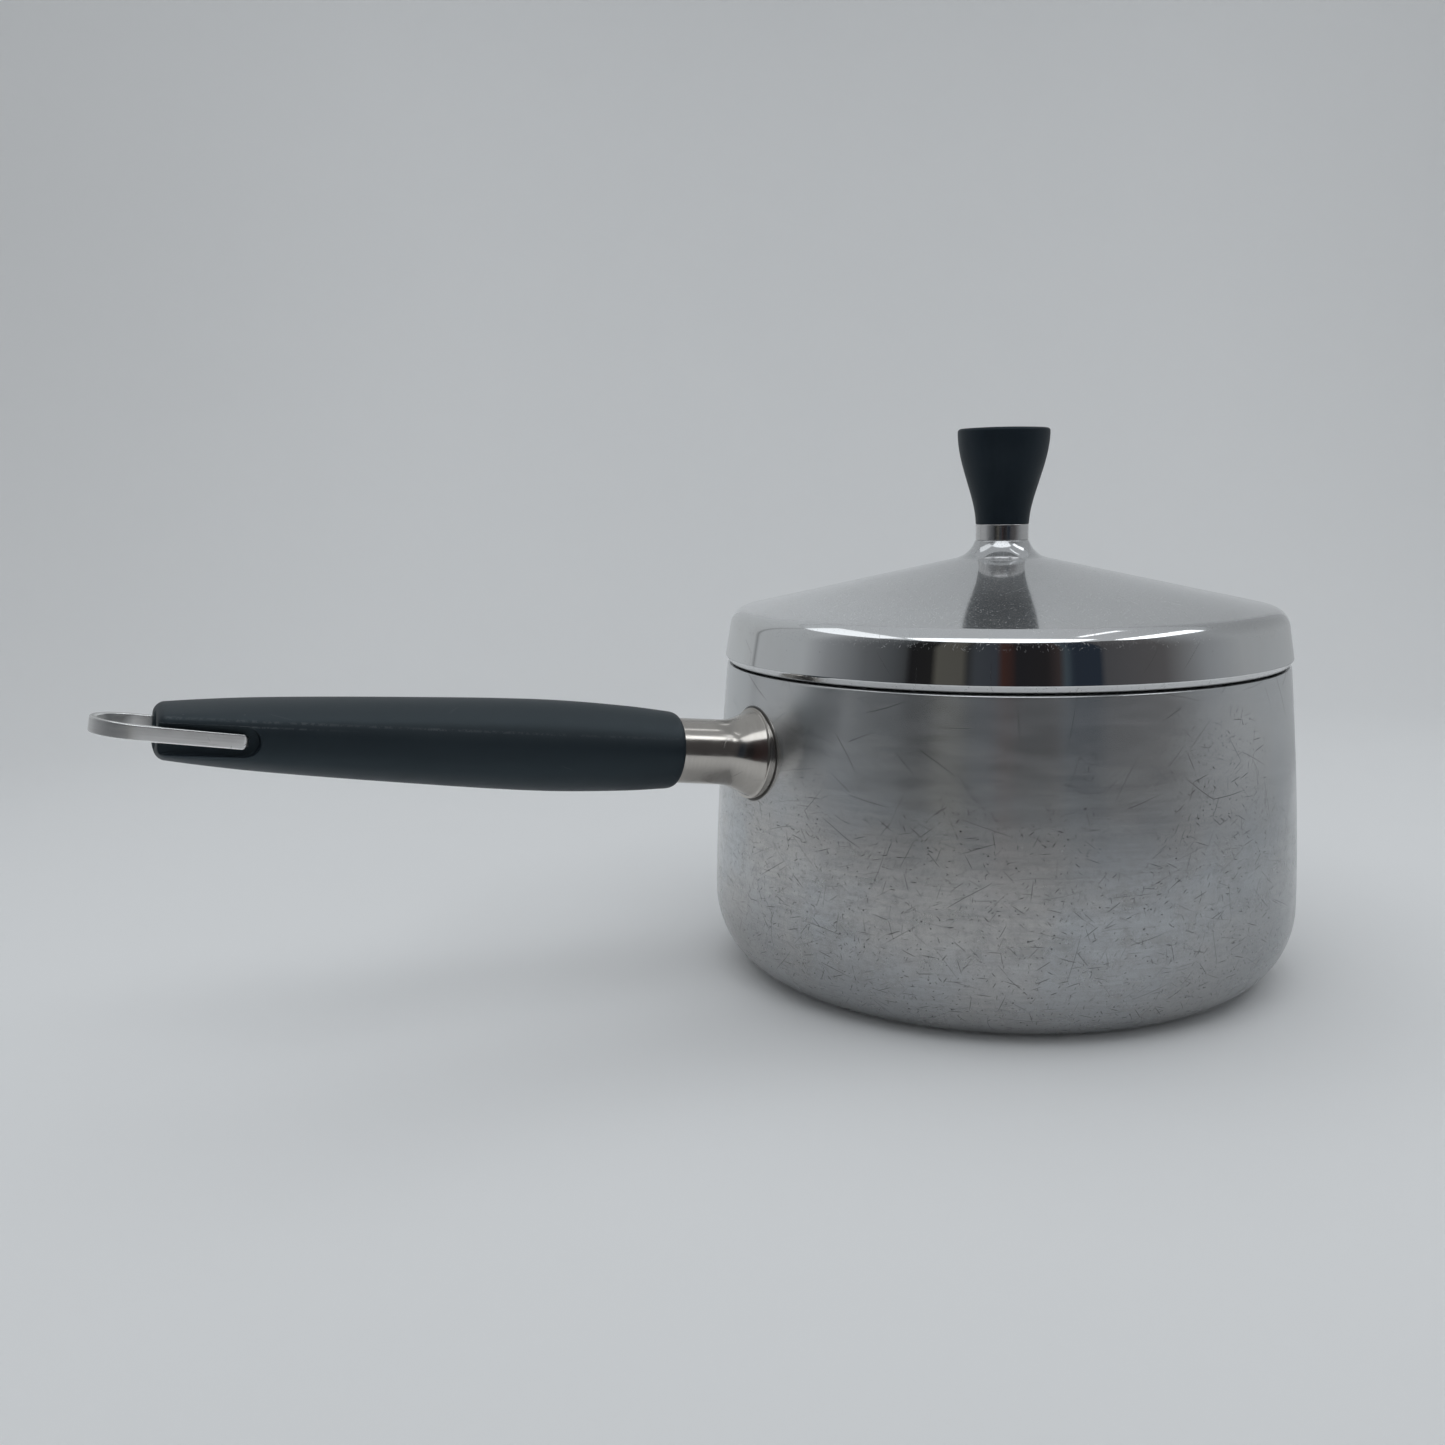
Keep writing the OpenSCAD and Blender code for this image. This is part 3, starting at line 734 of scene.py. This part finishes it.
HANDLE = handle_frame()
RING = (HANDLE @ Matrix.Translation((PIVOT_H, 0, PIVOT_S)) @ Matrix.Rotation(RING_TILT, 4, "Y")
        @ Matrix.Rotation(-math.pi / 2, 4, "Y"))


def dress(piece, material, body, node):
    """Gives a piece its material and body, and hides the CAD node that it stands for."""
    piece.data.materials.append(material)
    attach(piece, body)
    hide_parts(node)


def pan_body(material):
    top = SHOULDER_Z - SHOULDER_H
    wall = [CORNER_H + (top - CORNER_H) * i / WALL_STEPS for i in range(1, WALL_STEPS + 1)]
    outline = [(0, 0)]
    outline += arc((FLAT_R, CORNER_H), (CORNER_W, CORNER_H), -90, 0, 28)
    outline += [(wall_r(z), z) for z in wall]
    outline += arc((wall_r(top) - SHOULDER_W, top), (SHOULDER_W, SHOULDER_H), 0, 90, 10)[1:]
    outline += arc((NECK_R + NECK_FILLET, SHOULDER_Z + NECK_FILLET), (NECK_FILLET,) * 2, -90, -180, 6)
    outline += arc((NECK_R - NECK_T / 2, RIM_Z - NECK_T / 2), (NECK_T / 2,) * 2, 0, 180, 16)
    step_z = SHOULDER_Z - WALL_T
    inner_r = wall_r(step_z - STEP_H) - WALL_T
    neck_in = NECK_R - NECK_T
    outline += rounded([(neck_in, step_z + STEP_H, 0), (neck_in, step_z, STEP_ROUND),
                        (inner_r, step_z, STEP_ROUND), (inner_r, step_z - STEP_H, 0)], 15)[1:-1]
    outline += [(wall_r(z) - WALL_T, z) for z in wall[::-1] if z < step_z - STEP_H + 1]
    outline += arc((FLAT_R, CORNER_H), (CORNER_W - WALL_T, CORNER_H - BASE_T), 0, -90, 24)
    outline += [(0, BASE_T)]
    piece = finish_mesh(revolved(outline), "pan_body")
    dress(piece, material, "pan", "pan_shell")


def lid_cover(material):
    skirt_z = LID_EDGE_Z + SKIRT_BEND_H
    corner_z = CONE_APEX_Z - CONE_SLOPE * LID_CORNER_R
    path = [(LID_HOLE_R, LID_TOP_Z, 0), (SEAT_R, LID_TOP_Z, SEAT_ROUND), (FLARE_R, FLARE_Z, FLARE_ROUND),
            (LID_CORNER_R, corner_z, LID_CORNER_ROUND), (SKIRT_R, skirt_z, SKIRT_BEND_ROUND),
            (SKIRT_R - CURL_IN, LID_EDGE_Z, 0)]
    piece = finish_mesh(revolved(sheet(path, LID_T)), "lid_cover")
    dress(piece, material, "lid", "lid_shell")


def knob(material):
    side_h = KNOB_TOP_Z - FOOT_Z - KNOB_EDGE - KNOB_DOME
    edge_z = FOOT_Z + side_h
    outline = [(INSERT_R, LID_TOP_Z), (SPIGOT_R, LID_TOP_Z)]
    outline += [(SPIGOT_R, FOOT_Z), (COLLAR_R - FOOT_LIP_W, FOOT_Z)]
    for i in range(KNOB_SIDE_STEPS + 1):
        t = i / KNOB_SIDE_STEPS
        outline.append((knob_side(t), FOOT_Z + max(FOOT_LIP_H, side_h * t)))
    outline += arc((KNOB_R - KNOB_EDGE, edge_z), (KNOB_EDGE,) * 2, 0, 84, 8)[1:]
    flat = KNOB_R - KNOB_EDGE
    outline += [(flat * t, KNOB_TOP_Z - KNOB_DOME * t * t) for t in (0.95, 0.75, 0.5, 0.25, 0)]
    outline += [(0, INSERT_TOP_Z), (INSERT_R, INSERT_TOP_Z)]
    piece = finish_mesh(revolved(outline, 128), "knob")
    dress(piece, material, "lid", "lid_knob")


def collar(material):
    path = [(SPIGOT_R, LID_TOP_Z, 0), (COLLAR_R, LID_TOP_Z, COLLAR_EDGE), (COLLAR_R, FOOT_Z, COLLAR_EDGE),
            (SPIGOT_R, FOOT_Z, 0)]
    piece = finish_mesh(revolved(rounded(path, 20), 128), "collar")
    dress(piece, material, "lid", "knob_collar")


def wall_depth(h, w):
    """Where a line along the handle at (h, w) meets the pan's outer wall."""
    low, high = -8.0, 4.0
    for _ in range(30):
        s = (low + high) / 2
        x, y, z = HANDLE @ Vector((h, w, s))
        if math.hypot(x, y) > wall_r(z):
            high = s
        else:
            low = s
    return low


def guard_sleeve(material):
    inside_wall = -10
    path = [(GUARD_R, GRIP_START, 0), (GUARD_FOOT_R, GUARD_FLARE_S, GUARD_FLARE_ROUND),
            (FLANGE_R - 0.75, FLANGE_S + 0.2, 0.4), (FLANGE_R, FLANGE_S, FLANGE_ROUND),
            (FLANGE_R, inside_wall, 0)]
    bm = revolved(sheet(path, GUARD_T), 160)
    for vert in bm.verts:
        if vert.co.z < inside_wall / 2:
            vert.co.z = wall_depth(vert.co.x, vert.co.y) - FLANGE_SINK
    piece = finish_mesh(bm, "guard_sleeve", HANDLE)
    dress(piece, material, "pan", "flame_guard")


def pulled(size, x):
    """How far an end's quarter-ellipse rounding pulls the outline in, at x from the face."""
    return size[1] * (1 - math.sqrt(1 - (1 - x / size[0]) ** 2))


def grip_skin():
    """The grip with its spigot, before its holes are cut."""
    angles = [math.tau * k / GRIP_SIDES for k in range(GRIP_SIDES)]
    soft = 0.5

    def circle(r, s):
        return [(r * math.sin(a), r * math.cos(a), s) for a in angles]

    def section(s, pull_in=0):
        return [grip_point(s, a, pull_in) for a in angles]

    def end_steps(size, steps):
        return [size[0] * (1 - math.cos(math.radians(90 * i / steps))) for i in range(steps)]

    rings = [circle(HANDLE_SPIGOT_R - soft, SPIGOT_START), circle(HANDLE_SPIGOT_R, SPIGOT_START + soft),
             circle(HANDLE_SPIGOT_R, GRIP_START)]
    rings += [section(GRIP_START + x, pulled(FRONT_ROUND, x)) for x in end_steps(FRONT_ROUND, 10)]
    start, end = GRIP_START + FRONT_ROUND[0], GRIP_END - REAR_ROUND[0]
    rings += [section(start + (end - start) * i / GRIP_STEPS) for i in range(GRIP_STEPS + 1)]
    rings += [section(GRIP_END - x, pulled(REAR_ROUND, x)) for x in reversed(end_steps(REAR_ROUND, 12))]
    return lofted(rings)


def recess_cutter(side):
    """Cutter for a side recess that is open to the rear, with soft corners at its floor and mouth."""
    soft, far_w = RECESS_SOFT, 20
    beyond = GRIP_END + CUT - PIVOT_S

    def outline(grow):
        r = RECESS_R + grow
        points = [(beyond - beyond * i / 16, r) for i in range(16)]
        points += [(r * math.cos(a), r * math.sin(a))
                   for a in (math.pi / 2 + math.pi * i / 32 for i in range(33))]
        points += [(beyond * i / 16, -r) for i in range(1, 17)]
        return points

    def level(grow, depth=None, w=None):
        ring = []
        for x, y in outline(grow):
            s, h = PIVOT_S + x, PIVOT_H + y
            skin = grip_side(min(s, GRIP_END - REAR_ROUND[0]), h)
            ring.append((h, side * (w if w is not None else skin - depth), s))
        return ring

    rings = []
    for a in (math.radians(30 * i) for i in range(4)):
        rings.append(level(-soft * (1 - math.sin(a)), w=RECESS_FLOOR_W + soft * (1 - math.cos(a))))
    for a in (math.radians(22 * i) for i in range(4)):
        rings.append(level(soft * (1 - math.cos(a)), depth=soft * (1 - math.sin(a))))
    rings += [level(soft * 1.1, depth=-soft * 0.6), level(soft * 1.1, w=far_w)]
    return lofted(rings)


def rod(r, s0, s1, segments=48, soft=0.0):
    """Closed bmesh of a rod along Z, with its edges softened."""
    path = [(0, s0, 0), (r, s0, soft), (r, s1, soft), (0, s1, 0)]
    return revolved(rounded(path, 22), segments, closed=False)


def laid_across(side):
    """Turn that points a rod's Z at +Y or -Y."""
    return Matrix.Rotation(-side * math.pi / 2, 4, "X")


def bore_cutter():
    """Cutter for the screw's bore and counterbore, with a flared mouth in the rear face."""
    start, beyond = SPIGOT_START - 2, GRIP_END + CUT
    flare = MOUTH_FLARE
    bore = rounded([(0, start, 0), (BORE_R, start, 0), (BORE_R, COUNTERBORE_S, 0),
                    (COUNTERBORE_R, COUNTERBORE_S, 0.3), (COUNTERBORE_R, GRIP_END - flare, 0)], 30)
    bore += [(COUNTERBORE_R + flare * (1 - math.cos(a)), GRIP_END - flare + flare * math.sin(a))
             for a in (math.radians(22 * i) for i in (1, 2, 3))]
    mouth_r = COUNTERBORE_R + flare * 1.2
    bore += [(mouth_r, GRIP_END + flare), (mouth_r, beyond), (0, beyond)]
    return revolved(bore, 64, closed=False)


def grip_body(material):
    bm = combined(grip_skin(), bore_cutter(), "DIFFERENCE")
    for side in (-1, 1):
        bm = combined(bm, recess_cutter(side), "DIFFERENCE")
        hole = rod(PIN_R + PIN_GAP, RECESS_FLOOR_W - PIN_L, RECESS_FLOOR_W + 1, 40)
        hole.transform(Matrix.Translation((PIVOT_H, 0, PIVOT_S)) @ laid_across(side))
        bm = combined(bm, hole, "DIFFERENCE")
    piece = finish_mesh(bm, "grip_body", HANDLE, sharp=40)
    dress(piece, material, "pan", "handle_grip")


def strip_section(outer, inner, trim):
    """Ring of points round the strip's rounded section, between its outer and inner points."""
    outer, inner = Vector(outer), Vector(inner)
    thickness = (outer - inner).length
    soft = min(STRIP_SOFT, thickness * 0.45)
    across = (outer - inner) / thickness
    half = STRIP_H / 2 - trim
    points = []
    for cu, cz, start in ((thickness - soft, half - soft, 0), (soft, half - soft, 90),
                          (soft, soft - half, 180), (thickness - soft, soft - half, 270)):
        for i in range(5):
            a = math.radians(start + 22.5 * i)
            flat = inner + across * (cu + soft * math.cos(a))
            points.append((flat.x, flat.y, cz + soft * math.sin(a)))
    return points


def ring_half():
    """Stations along half of the ring: outer point, inner point and how much the height is trimmed."""
    r_in = RING_R - STRIP_T
    bow_x = RING_LENGTH - RING_R
    half = []
    for i in range(9):
        a = math.radians(168 - 78 * i / 8)
        x = RING_BEND_X + STRIP_T * math.cos(a)
        from_end = max(0, 1 - (x + RING_BEND_X) / STRIP_END_ROUND)
        trim = STRIP_END_ROUND * (1 - math.sqrt(max(0, 1 - from_end ** 2)))
        half.append(((x, r_in + STRIP_T * math.sin(a)), (x, r_in), trim))
    for i in range(1, 10):
        x = RING_BEND_X + (bow_x - RING_BEND_X) * i / 10
        half.append(((x, RING_R), (x, r_in), 0))
    for i in range(25):
        a = math.pi / 2 * i / 24
        outer, inner = ((bow_x + r * math.sin(a), r * math.cos(a)) for r in (RING_R, r_in))
        half.append((outer, inner, 0))
    return half


def ring_loop(material):
    r_in = RING_R - STRIP_T
    half = ring_half()
    other = [((o[0], -o[1]), (i[0], -i[1]), trim) for o, i, trim in half[-2::-1]]
    rings = [strip_section(*station) for station in half + other]
    bm = lofted(rings)
    for side in (-1, 1):
        pin = rod(PIN_R, r_in - PIN_L + RECESS_GAP, r_in + STRIP_T / 4, 40, soft=0.3)
        pin.transform(laid_across(side))
        bm = combined(bm, pin, "UNION")
    piece = finish_mesh(bm, "ring_loop", RING)
    dress(piece, material, "ring", "hanging_ring")


def rivets(material):
    """Two rivets: a low head on the bracket, a shank, and a domed foot inside the pan."""
    both = bmesh.new()
    foot_dome, head_edge = 1.1, 0.3
    foot = arc((0, RIVET_FOOT_S + foot_dome), (RIVET_FOOT_R, foot_dome), -90, 0, 10)
    head = arc((0, RIVET_SEAT_S + head_edge), (RIVET_HEAD_R, RIVET_HEAD_H - head_edge), 0, 90, 8)
    outline = [(max(r, 0), s) for r, s in foot]
    outline += [(RIVET_FOOT_R, RIVET_INNER_S), (RIVET_R, RIVET_INNER_S)]
    outline += [(RIVET_R, RIVET_SEAT_S), (RIVET_HEAD_R, RIVET_SEAT_S)]
    outline += head[:-1] + [(0, head[-1][1])]
    for side in (-1, 1):
        one = revolved(outline, 48, closed=False)
        one.transform(Matrix.Translation((0, side * RIVET_W, 0)))
        mesh = bpy.data.meshes.new("one_rivet")
        one.to_mesh(mesh)
        one.free()
        both.from_mesh(mesh)
        bpy.data.meshes.remove(mesh)
    piece = finish_mesh(both, "rivets", HANDLE)
    dress(piece, material, "pan", "bracket_rivets")


def slotted_screw(shank_r, shank_end, head_r, head_h, seat):
    """Bmesh of a screw whose head stands up from its seat, with a slot along X and its shank below."""
    path = [(0, shank_end, 0), (shank_r, shank_end, 0.4), (shank_r, seat, 0), (head_r, seat, 0.25),
            (head_r, seat + head_h, 0.9), (0, seat + head_h, 0)]
    bm = revolved(rounded(path, 15), 64, closed=False)
    slot = bmesh.new()
    middle = Matrix.Translation((0, 0, seat + head_h - SLOT_DEPTH / 2 + 1))
    size = Matrix.Diagonal((3 * head_r, SLOT_W, SLOT_DEPTH + 2, 1))
    bmesh.ops.create_cube(slot, size=1, matrix=middle @ size)
    return combined(bm, slot, "DIFFERENCE")


def handle_bolt(material):
    bm = slotted_screw(SCREW_R, SCREW_START, HEAD_R, HEAD_H, COUNTERBORE_S + WASHER_T)
    bm.transform(Matrix.Rotation(math.pi / 2, 4, "Z"))
    piece = finish_mesh(bm, "handle_bolt", HANDLE)
    dress(piece, material, "pan", "handle_screw")


def knob_bolt(material):
    seat = bottom_of("knob_washer")
    length = top_of("knob_screw") - seat
    bm = slotted_screw(KNOB_SCREW_R, -length, KNOB_HEAD_R, KNOB_HEAD_H, 0)
    bm.transform(Matrix.Translation((0, 0, seat)) @ Matrix.Rotation(math.pi, 4, "X"))
    piece = finish_mesh(bm, "knob_bolt")
    dress(piece, material, "lid", "knob_screw")


def washer(hole_r, r, low, thickness):
    """Bmesh of a washer that lies on the height given, with its outer edges softened."""
    soft, high = 0.2, low + thickness
    path = [(hole_r, low, 0), (r, low, soft), (r, high, soft), (hole_r, high, 0)]
    return revolved(rounded(path, 20), 64)


def handle_bolt_washer(material):
    piece = finish_mesh(washer(BORE_R, HEAD_R, COUNTERBORE_S, WASHER_T), "handle_bolt_washer", HANDLE)
    dress(piece, material, "pan", "handle_washer")


def knob_bolt_washer(material):
    bm = washer(LID_HOLE_R, KNOB_WASHER_R, bottom_of("knob_washer"), KNOB_WASHER_T)
    piece = finish_mesh(bm, "knob_bolt_washer")
    dress(piece, material, "lid", "knob_washer")


def paint_cad(node, material):
    """New material on a CAD node that keeps its own mesh."""
    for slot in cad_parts[node].material_slots:
        slot.material = material


# ---- Studio ----

def camera():
    place = Vector((-0.2816, -0.3807, 0.1543))
    heading, pitch, roll = math.radians(25.42), math.radians(9.22), math.radians(0.76)
    level = Vector((math.sin(heading), math.cos(heading), 0))
    forward = level * math.cos(pitch) - UP * math.sin(pitch)
    right = forward.cross(UP).normalized()
    above = right.cross(forward)
    right, above = (right * math.cos(roll) - above * math.sin(roll),
                    above * math.cos(roll) + right * math.sin(roll))
    data = bpy.data.cameras.new("camera")
    data.sensor_width = 36
    data.lens = 35.63
    data.clip_start, data.clip_end = 0.01, 20
    piece = placed("camera", data)
    turn = Matrix((right, above, -forward)).transposed().to_4x4()
    piece.matrix_world = Matrix.Translation(place) @ turn
    bpy.context.scene.camera = piece
    return piece


def paper():
    """Pale paper with painted shade: darker to the sides and toward the camera."""
    f = Finish("paper", metallic=0.0, Roughness=0.85, Specular_IOR_Level=0.15)
    tone = f.mix(f.noise(0.08, 4.0, 0.55), (0.87, 0.872, 0.874, 1), grey(0.885))
    aside = f.math("ABSOLUTE", f.vector("DOT_PRODUCT", f.where, PICTURE_RIGHT))
    near = f.vector("DOT_PRODUCT", f.where, PICTURE_NEAR)
    # Painted shade: darker to the sides and toward the camera
    painted_falloff = f.either(f.step(aside, 0.3, 0.85, 0, 0.8), f.step(near, 0.08, 0.34, 0, 0.45))
    f.set("Base Color", f.mix(painted_falloff, tone, grey(0.70)))
    return f.material


def backdrop():
    """A floor that sweeps up into a round wall, open at the top."""
    floor_r, sweep_r, wall_top = 620, 420, 1050
    drop = 0.1
    outline = [(0, 0), (floor_r * 0.5, 0)] + arc((floor_r, sweep_r), (sweep_r, sweep_r), -90, 0, 24)
    outline += [(floor_r + sweep_r, wall_top)]
    bm = revolved([(r, z - drop) for r, z in outline], 128, closed=False)
    piece = finish_mesh(bm, "backdrop")
    piece.data.materials.append(paper())


def toward_camera(camera_piece):
    """Level direction from the origin to the camera."""
    away = camera_piece.location.copy()
    away.z = 0
    return away.normalized()


# Colours round the front of the light tent, by angle from the camera: pale sides, a seam on the left and
# a dark opening. Its stripes were matched to colours read off the lid in the photo, so they follow the
# room there. Plain greys would be the cleaner choice.
FRONT_COLOURS = (
    (-150, (0.43, 0.45, 0.465)), (-118, (0.40, 0.42, 0.43)), (-108.5, (0.37, 0.385, 0.395)),
    (-106.8, (0.19, 0.20, 0.205)), (-105, (0.36, 0.375, 0.385)), (-76, (0.33, 0.345, 0.355)),
    (-65, (0.21, 0.22, 0.23)), (-57, (0.155, 0.163, 0.171)), (-48, (0.098, 0.104, 0.110)),
    (-38, (0.064, 0.069, 0.074)), (-33, (0.044, 0.047, 0.050)), (-31, (0.012, 0.012, 0.013)),
    (-23, (0.014, 0.014, 0.014)), (-21.5, (0.075, 0.073, 0.064)),
    (-12.5, (0.072, 0.070, 0.062)), (-11, (0.026, 0.027, 0.028)),
    (-8, (0.040, 0.045, 0.052)), (-1, (0.034, 0.038, 0.046)),
    (1, (0.040, 0.020, 0.017)), (4, (0.030, 0.017, 0.016)), (6, (0.014, 0.014, 0.016)),
    (16, (0.016, 0.015, 0.016)), (20, (0.034, 0.027, 0.027)), (22.5, (0.045, 0.060, 0.072)),
    (25, (0.018, 0.024, 0.034)), (34, (0.018, 0.024, 0.034)), (36, (0.058, 0.058, 0.062)),
    (58, (0.080, 0.078, 0.080)), (76, (0.21, 0.22, 0.23)), (95, (0.30, 0.315, 0.325)),
    (141, (0.34, 0.355, 0.365)), (150, (0.37, 0.385, 0.40)))


def card_material(middle, left, right):
    """Glow that takes its colour from the angle round the object."""
    material = bpy.data.materials.new("front_card")
    material.use_nodes = True
    tree = material.node_tree
    tree.nodes.clear()
    where = tree.nodes.new("ShaderNodeTexCoord").outputs["Object"]
    turn = tree.nodes.new("ShaderNodeVectorRotate")
    turn.rotation_type = "Z_AXIS"
    turn.inputs["Angle"].default_value = -middle
    parts = tree.nodes.new("ShaderNodeSeparateXYZ")
    angle = tree.nodes.new("ShaderNodeMath")
    angle.operation = "ARCTAN2"
    scale = tree.nodes.new("ShaderNodeMapRange")
    scale.inputs["From Min"].default_value = left
    scale.inputs["From Max"].default_value = right
    ramp = tree.nodes.new("ShaderNodeValToRGB")
    glow = tree.nodes.new("ShaderNodeEmission")
    output = tree.nodes.new("ShaderNodeOutputMaterial")
    for a, b in ((where, turn.inputs["Vector"]), (turn.outputs[0], parts.inputs[0]),
                 (parts.outputs[1], angle.inputs[0]), (parts.outputs[0], angle.inputs[1]),
                 (angle.outputs[0], scale.inputs["Value"]), (scale.outputs[0], ramp.inputs[0]),
                 (ramp.outputs[0], glow.inputs["Color"]), (glow.outputs[0], output.inputs[0])):
        tree.links.new(a, b)
    stops = ramp.color_ramp.elements
    stops.remove(stops[0])
    for i, (degrees, colour) in enumerate(FRONT_COLOURS):
        place = (math.radians(degrees) - left) / (right - left)
        stop = stops[0] if i == 0 else stops.new(place)
        stop.position = place
        stop.color = (*colour, 1)
    material.cycles.emission_sampling = "NONE"
    return material


def front_card(facing):
    """A curved screen round the front, seen only in reflections."""
    radius, height = 420, 470
    middle = math.atan2(facing.y, facing.x)
    left, right = (math.radians(FRONT_COLOURS[i][0]) for i in (0, -1))
    bm = revolved([(radius, 0), (radius, height)], 96, middle + left, right - left, closed=False)
    piece = finish_mesh(bm, "front_card")
    piece.data.materials.append(card_material(middle, left, right))
    piece.visible_camera = piece.visible_shadow = piece.visible_diffuse = False


# Slightly cool daylight
LAMP_TINT = (0.965, 1.0, 1.03)
SKY_TINT, SKY_GLOW = (0.955, 1.0, 1.036, 1), 0.44


def bar_lamp(name, start, end, width, glow, glossy=True):
    """A straight lamp between two points, facing down, with a given brightness."""
    data = bpy.data.lights.new(name, "AREA")
    data.shape = "RECTANGLE"
    data.size, data.size_y = (end - start).length, width
    data.energy = glow * math.pi * data.size * data.size_y
    data.color = LAMP_TINT
    along = (end - start).normalized()
    piece = placed(name, data)
    turn = Matrix((along, UP.cross(along), UP)).transposed().to_4x4()
    piece.matrix_world = Matrix.Translation((start + end) / 2) @ turn
    piece.visible_camera = False
    piece.visible_glossy = glossy


def overhead_lamps(facing):
    """A wide soft lamp over the front, bars along the sides, and a top lamp that is not mirrored."""
    across = UP.cross(facing).normalized()
    height = UP * 0.8

    def at(forward, sideways):
        return height + facing * forward + across * sideways

    bar_lamp("lamp_front", at(0.58, -0.42), at(0.58, 0.42), width=0.45, glow=1.2)
    bar_lamp("lamp_left", at(-0.3, -0.62), at(0.4, -0.62), width=0.36, glow=0.7)
    bar_lamp("lamp_right", at(-0.3, 0.63), at(0.4, 0.63), width=0.17, glow=2.2)
    bar_lamp("lamp_right_inner", at(-0.3, 0.27), at(0.2, 0.27), width=0.02, glow=2.2)
    bar_lamp("lamp_top", at(-0.3, -0.5), at(-0.3, 0.5), width=0.6, glow=0.5, glossy=False)


def studio():
    facing = toward_camera(camera())
    backdrop()
    front_card(facing)
    overhead_lamps(facing)
    world = bpy.data.worlds.new("sky")
    world.use_nodes = True
    background = world.node_tree.nodes["Background"]
    background.inputs["Color"].default_value = SKY_TINT
    background.inputs["Strength"].default_value = SKY_GLOW
    bpy.context.scene.world = world
    bpy.context.scene.view_settings.view_transform = "Standard"


studio()

fastener = turned_metal("fastener_steel")
pan_body(pan_aluminium())
lid_cover(lid_aluminium())
knob(knob_black())
collar(turned_metal("collar_chrome"))
guard_sleeve(turned_metal("guard_steel", HANDLE))
grip_body(grip_black(HANDLE))
ring_loop(ring_steel(RING))
rivets(turned_metal("rivet_aluminium", HANDLE))
handle_bolt(fastener)
knob_bolt(fastener)
handle_bolt_washer(fastener)
knob_bolt_washer(fastener)
paint_cad("handle_bracket", turned_metal("bracket_steel", HANDLE))
paint_cad("knob_insert", insert_brass())
